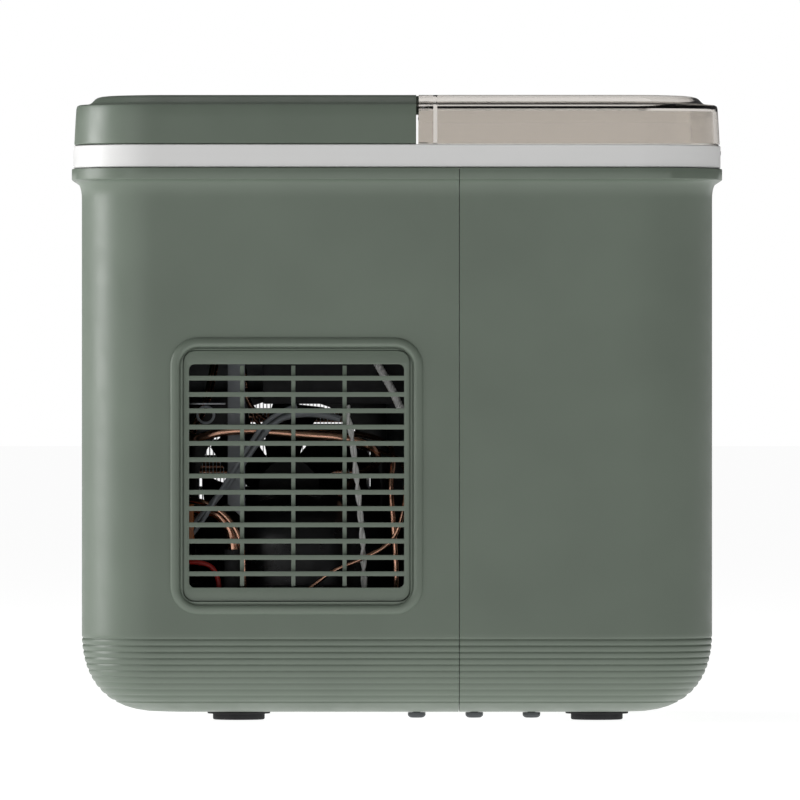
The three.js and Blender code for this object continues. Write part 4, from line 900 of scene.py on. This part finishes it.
ROUTES = {
    "discharge_pipe": (2.5, "copper_tube", "copper", (
        (-76.8, -64.5, 48), (-78, -78, 51), (-75.5, -85, 62), (-75, -85, 82.5), (-78, -85, 91.3),
        (-84, -84, 96.6), (-94, -80, 97.5), (-107, -60, 100), (-112, 0, 115), (-116, 50, 140),
        (-121, 80, 152), (-118, 86, 143.5), (-112, 87, 140), (-106.3, 87, 140))),
    "suction_pipe": (2.0, "copper_tube", "copper", (
        (-66.3, 12, 251), (-70, 12, 251), (-76, 10, 241), (-82, 4, 200), (-86, -40, 150), (-98, -78, 128),
        (-84, -83, 132.7), (-70, -84, 134.2), (-43, -84, 131.8), (-24.5, -84, 130.8),
        (-10.4, -82, 126.5), (-8, -70, 118), (-20, -48, 112), (-26, -42, 103.5))),
    "bypass_pipe": (1.25, "copper_tube", "copper", (
        (-13, -64, 45), (-3, -80, 52), (0, -85, 62.3), (-0.8, -85, 79), (-2.1, -85, 96.6),
        (-3.2, -84, 110), (-1, -77, 121), (-4, -62, 129), (-22, -36, 133), (-50, -16, 134), (-66, -12, 140),
        (-73, -12, 155), (-76, -12, 200), (-76, -12, 241), (-70, -12, 251), (-66.3, -12, 251))),
    "liquid_pipe": (2.0, "copper_tube", "copper", (
        (-106.3, 87, 68), (-112, 87, 68), (-120, 86, 70), (-127, 82, 80), (-125, 72, 93),
        (-122, 66, 92), (-122, 66, 86.4))),
    "capillary_tube": (1.0, "copper_tube", "copper", (
        (-122, 66, 27.6), (-122, 66, 23), (-115, 60, 14), (-108, 50, 12),
        (-106, 20, 14), (-103, -28, 20), (-93, -50, 30), (-82, -74, 35), (-68, -88, 42),
        (-50, -89, 54), (-38.5, -89, 62.3), (-29.7, -89, 69.4), (-17.4, -90, 74),
        (-1.6, -89, 82), (3.2, -89, 96), (4, -84, 108), (4, -74, 116), (0, -58, 122), (-20, -30, 127),
        (-50, -4, 130), (-66, 0, 135), (-71, 0, 152), (-74, 0, 200), (-75, 0, 241), (-70, 0, 251),
        (-66.3, 0, 251))),
    "pump_hose": (3.2, "grey_plastic", "grey_plastic", (
        (-106, -66, 53.4), (-106, -66, 58), (-113, -82, 84), (-112, -87, 150),
        (-102, -70, 210), (-86, -44, 237), (-66, -40, 239), (-46, -40, 239), (-35, -40, 234))),
    "drain_hose": (4.0, "grey_plastic", "grey_plastic", (
        (-127.3, 52, 26), (-120.5, 52, 26), (-96, 52, 23), (-50, 48, 21), (-12, 41, 25),
        (0, 40, 26), (5.7, 40, 26))),
    "lead_pair": (1.7, "wire_white", "white_plastic", (
        (-23, -87, 145), (-22.4, -90, 140), (-20.6, -91, 130), (-18.8, -90, 114),
        (-17, -87, 96.6), (-15.7, -86, 82), (-15, -86, 60), (-12, -84, 40))),
    "fan_lead": (1.6, "wire_grey", "grey_plastic", (
        (-98, -84, 88), (-92, -89, 92), (-85, -91, 100), (-74, -90, 114), (-66, -89, 126),
        (-57, -88.5, 138), (-47, -88, 141.5), (-34, -88, 141.5), (-26, -88, 139))),
}


class ICE_OT_pipes(bpy.types.Operator):
    """Make the pipes, hoses and leads, the condenser coil and its fins"""

    bl_idname = "ice_maker.pipes"
    bl_label = "Pipes and condenser"

    def execute(self, context):
        for node, (radius, material, slot, points) in ROUTES.items():
            path = [Vector(point) * MM for point in points]
            piece = (
                twisted(node + "_fine", path, 0.82 * MM, 20 * MM) if node == "lead_pair"
                else tube(node + "_fine", path, radius * MM)
            )
            finished(piece, material, "case", [node], 60)
        self.coil()
        self.fins()
        return {"FINISHED"}

    def coil(self):
        """The serpentine tube of the condenser."""
        bend, depth, rows, pitch = 12, 87, 4, 24
        points = []
        for row in range(rows - 1, -1, -1):
            forward = (rows - 1 - row) % 2 == 0
            z = 68 + row * pitch
            ends = (-106, -10) if forward else (-10, -106)
            points += [(ends[0] + (ends[1] - ends[0]) * k / 6, depth, z) for k in range(7)]
            if row:
                sign = 1 if forward else -1
                for turn in map(math.radians, range(20, 180, 20)):
                    across, down = bend * math.sin(turn), bend - bend * math.cos(turn)
                    points.append((ends[1] + sign * across, depth, z - down))
        path = [Vector(point) * MM for point in points]
        coil = tube("condenser_coil_fine", path, 3 * MM, 3)
        finished(coil, "copper_tube", "case", ["condenser_coil"], 60)

    def fins(self):
        """The thin condenser sheets, their end plates and the foam seals beside them."""
        bottom, top, back = 56 * MM, 152 * MM, 98 * MM
        fin = slab(
            "condenser_fins_fine", (-102.9 * MM, 76 * MM, bottom), (-102.65 * MM, back, top), 0.05 * MM, 1
        )
        apply_modifier(
            fin, "ARRAY", count=53, use_relative_offset=False, use_constant_offset=True,
            constant_offset_displace=(1.7 * MM, 0, 0),
        )
        finished(fin, "fin_metal", "case", ["condenser_fins"], 0)
        for number, x in ((1, -103), (2, -14.2)):
            plate = slab(
                f"fin_end_{number}", (x * MM, 71 * MM, bottom), ((x + 1.2) * MM, back, top), 0.2 * MM
            )
            finished(plate, "fin_metal", "case", ())
        for name, x0, x1, y1 in (("air_seal_front", -20, -14.5, 75.6), ("air_seal_side", -12.7, -3, 83)):
            seal = slab(name, (x0 * MM, 71.5 * MM, bottom), (x1 * MM, y1 * MM, top), 0.6 * MM)
            finished(seal, "black_rubber", "case", ())


class ICE_OT_small_wiring(bpy.types.Operator):
    """Make the small leads, the pipe sleeve and the clip behind the right vent"""

    bl_idname = "ice_maker.small_wiring"
    bl_label = "Small wiring"

    def execute(self, context):
        for name, radius, material, slot, points in (
            ("red_lead", 1.2, "wire_red", "black_plastic", (
                (-104, -86, 74), (-96, -88, 73.4), (-90, -88.5, 73), (-85.5, -88.5, 71.5), (-83, -88.5, 68),
                (-81.6, -88.5, 62), (-81, -88, 48))),
            ("second_arc", 1.25, "copper_tube", "copper", (
                (-104, -82, 102), (-94, -88, 102.5), (-84, -91, 99), (-76, -92, 92), (-71, -92, 82),
                (-70.4, -91, 66), (-70, -88, 54))),
            ("pipe_sleeve", 4.6, "black_rubber", "black_rubber", (
                (-75.4, -85, 60), (-75, -85, 66), (-75, -85, 72), (-75.1, -85, 79))),
            ("arc_cable", 1.1, "wire_grey", "black_plastic", (
                (-100, -84, 80), (-92, -90, 88), (-84, -92.5, 101), (-76, -92.5, 114), (-68, -92, 127),
                (-58, -91.5, 141.5), (-46, -91, 145))),
        ):
            path = [Vector(point) * MM for point in points]
            finished(tube(name, path, radius * MM), material, "case", (), 60)
        braid = [Vector(point) * MM for point in (
            (-13, -76, 173), (-9, -77, 164.5), (-5.6, -78, 158.5), (-2.5, -79, 153), (2, -80, 143))]
        lead = twisted("braided_lead", braid, 1.0 * MM, 5 * MM, 3)
        finished(lead, "wire_white", "case", (), 60)
        amber = slab(
            "amber_terminal", (-99 * MM, -90 * MM, 83 * MM), (-93.4 * MM, -82 * MM, 100 * MM), 0.8 * MM
        )
        finished(amber, "amber_block", "case", ())
        edge = slab(
            "bracket_edge", (-97 * MM, -92 * MM, 145.7 * MM), (-79 * MM, -84 * MM, 146.5 * MM), 0.2 * MM
        )
        finished(edge, "bare_steel", "case", ())
        clip = rod("cable_clip", 4.4 * MM, -1.2 * MM, 1.2 * MM, "Y", Vector((-88, -89, 141)) * MM)
        bore = rod("bore", 3.2 * MM, -3 * MM, 3 * MM, "Y", Vector((-88, -89, 141)) * MM)
        combined(clip, [bore])
        softened(clip, 0.3 * MM)
        finished(clip, "wire_grey", "case", ())
        return {"FINISHED"}


class ICE_OT_stage(bpy.types.Operator):
    """Make the floor, the soft lights and the camera"""

    bl_idname = "ice_maker.stage"
    bl_label = "Stage"

    def execute(self, context):
        scene = context.scene
        scene.view_settings.view_transform = "Standard"
        self.floor()
        self.world(scene)
        self.lights(scene)
        camera = bpy.data.objects.new("camera", bpy.data.cameras.new("camera"))
        scene.collection.objects.link(camera)
        camera.data.sensor_width = 36
        camera.data.lens = 491
        camera.data.clip_end = 100
        camera.location = (1.4 * MM, -5.108, 147.8 * MM)
        camera.rotation_euler = (math.pi / 2, 0, 0)
        scene.camera = camera
        return {"FINISHED"}

    def floor(self):
        bpy.ops.object.select_all(action="DESELECT")
        bpy.ops.mesh.primitive_plane_add(size=1)
        floor = bpy.context.object
        floor.name = "floor"
        edit(floor)
        bpy.ops.mesh.select_all(action="SELECT")
        bpy.ops.transform.resize(value=(60, 60, 1), center_override=(0, 0, 0))
        bpy.ops.transform.translate(value=(0, 0, -0.0004))
        bpy.ops.mesh.subdivide(number_cuts=3)
        close_edit()
        shader = Shader("studio_white")
        mottle = shader.noise(3, 2)
        shader.link(
            shader.tinted(mottle, (0.4, 0.4, 0.4), (0.41, 0.41, 0.41)), shader.surface.inputs["Base Color"]
        )
        shader.put(Roughness=0.9, Emission_Color=(1, 1, 1, 1), Emission_Strength=0.93)
        floor.data.materials.append(MATERIALS["studio_white"])

    def world(self, scene):
        world = bpy.data.worlds.new("studio")
        scene.world = world
        world.use_nodes = True
        nodes, links = world.node_tree.nodes, world.node_tree.links
        path = nodes.new("ShaderNodeLightPath")
        seen = nodes.new("ShaderNodeMath")
        seen.operation = "MAXIMUM"
        links.new(path.outputs["Is Camera Ray"], seen.inputs[0])
        links.new(path.outputs["Is Transmission Ray"], seen.inputs[1])
        strength = nodes.new("ShaderNodeMath")
        strength.operation = "MULTIPLY_ADD"
        strength.inputs[1].default_value = 1 - AMBIENT
        strength.inputs[2].default_value = AMBIENT
        links.new(seen.outputs[0], strength.inputs[0])
        links.new(strength.outputs[0], nodes["Background"].inputs["Strength"])
        nodes["Background"].inputs["Color"].default_value = (1, 1, 1, 1)

    def lights(self, scene):
        for name, place, size, power in (
            ("key_left", (-2.6, 0.1, 0.7), 1.1, 42),
            ("fill_front", (-1.9, -3.0, 1.0), 1.4, 9.5),
            ("top", (-0.4, 0.2, 2.4), 1.6, 8),
        ):
            data = bpy.data.lights.new(name, "AREA")
            data.size = size
            data.energy = power
            light = bpy.data.objects.new(name, data)
            scene.collection.objects.link(light)
            light.location = place
            light.rotation_euler = (Vector((0, 0, 0.14)) - Vector(place)).to_track_quat("-Z", "Y").to_euler()


class ICE_PT_panel(bpy.types.Panel):
    """Lists the pieces of the ice maker"""

    bl_idname = "ICE_PT_panel"
    bl_label = "Ice maker"
    bl_space_type = "VIEW_3D"
    bl_region_type = "UI"
    bl_category = "Ice maker"

    def draw(self, context):
        look = context.scene.ice_maker_look
        for name in ("sage", "smoke", "groove_count", "groove_pitch", "groove_depth", "groove_top"):
            self.layout.prop(look, name)
        for operator in OPERATORS:
            self.layout.operator(operator.bl_idname)


OPERATORS = (
    ICE_OT_stage, ICE_OT_housing, ICE_OT_band, ICE_OT_rear_cover, ICE_OT_clear_lid, ICE_OT_grilles,
    ICE_OT_controls, ICE_OT_underside, ICE_OT_inner_works, ICE_OT_pipes, ICE_OT_small_wiring,
)


def register():
    for kind in (IceMakerLook, *OPERATORS, ICE_PT_panel):
        bpy.utils.register_class(kind)
    bpy.types.Scene.ice_maker_look = bpy.props.PointerProperty(type=IceMakerLook)


def unregister():
    del bpy.types.Scene.ice_maker_look
    for kind in reversed((IceMakerLook, *OPERATORS, ICE_PT_panel)):
        bpy.utils.unregister_class(kind)


def main():
    register()
    make_materials(bpy.context.scene.ice_maker_look)
    for operator in OPERATORS:
        group, name = operator.bl_idname.split(".")
        getattr(getattr(bpy.ops, group), name)()


if __name__ == "__main__":
    main()
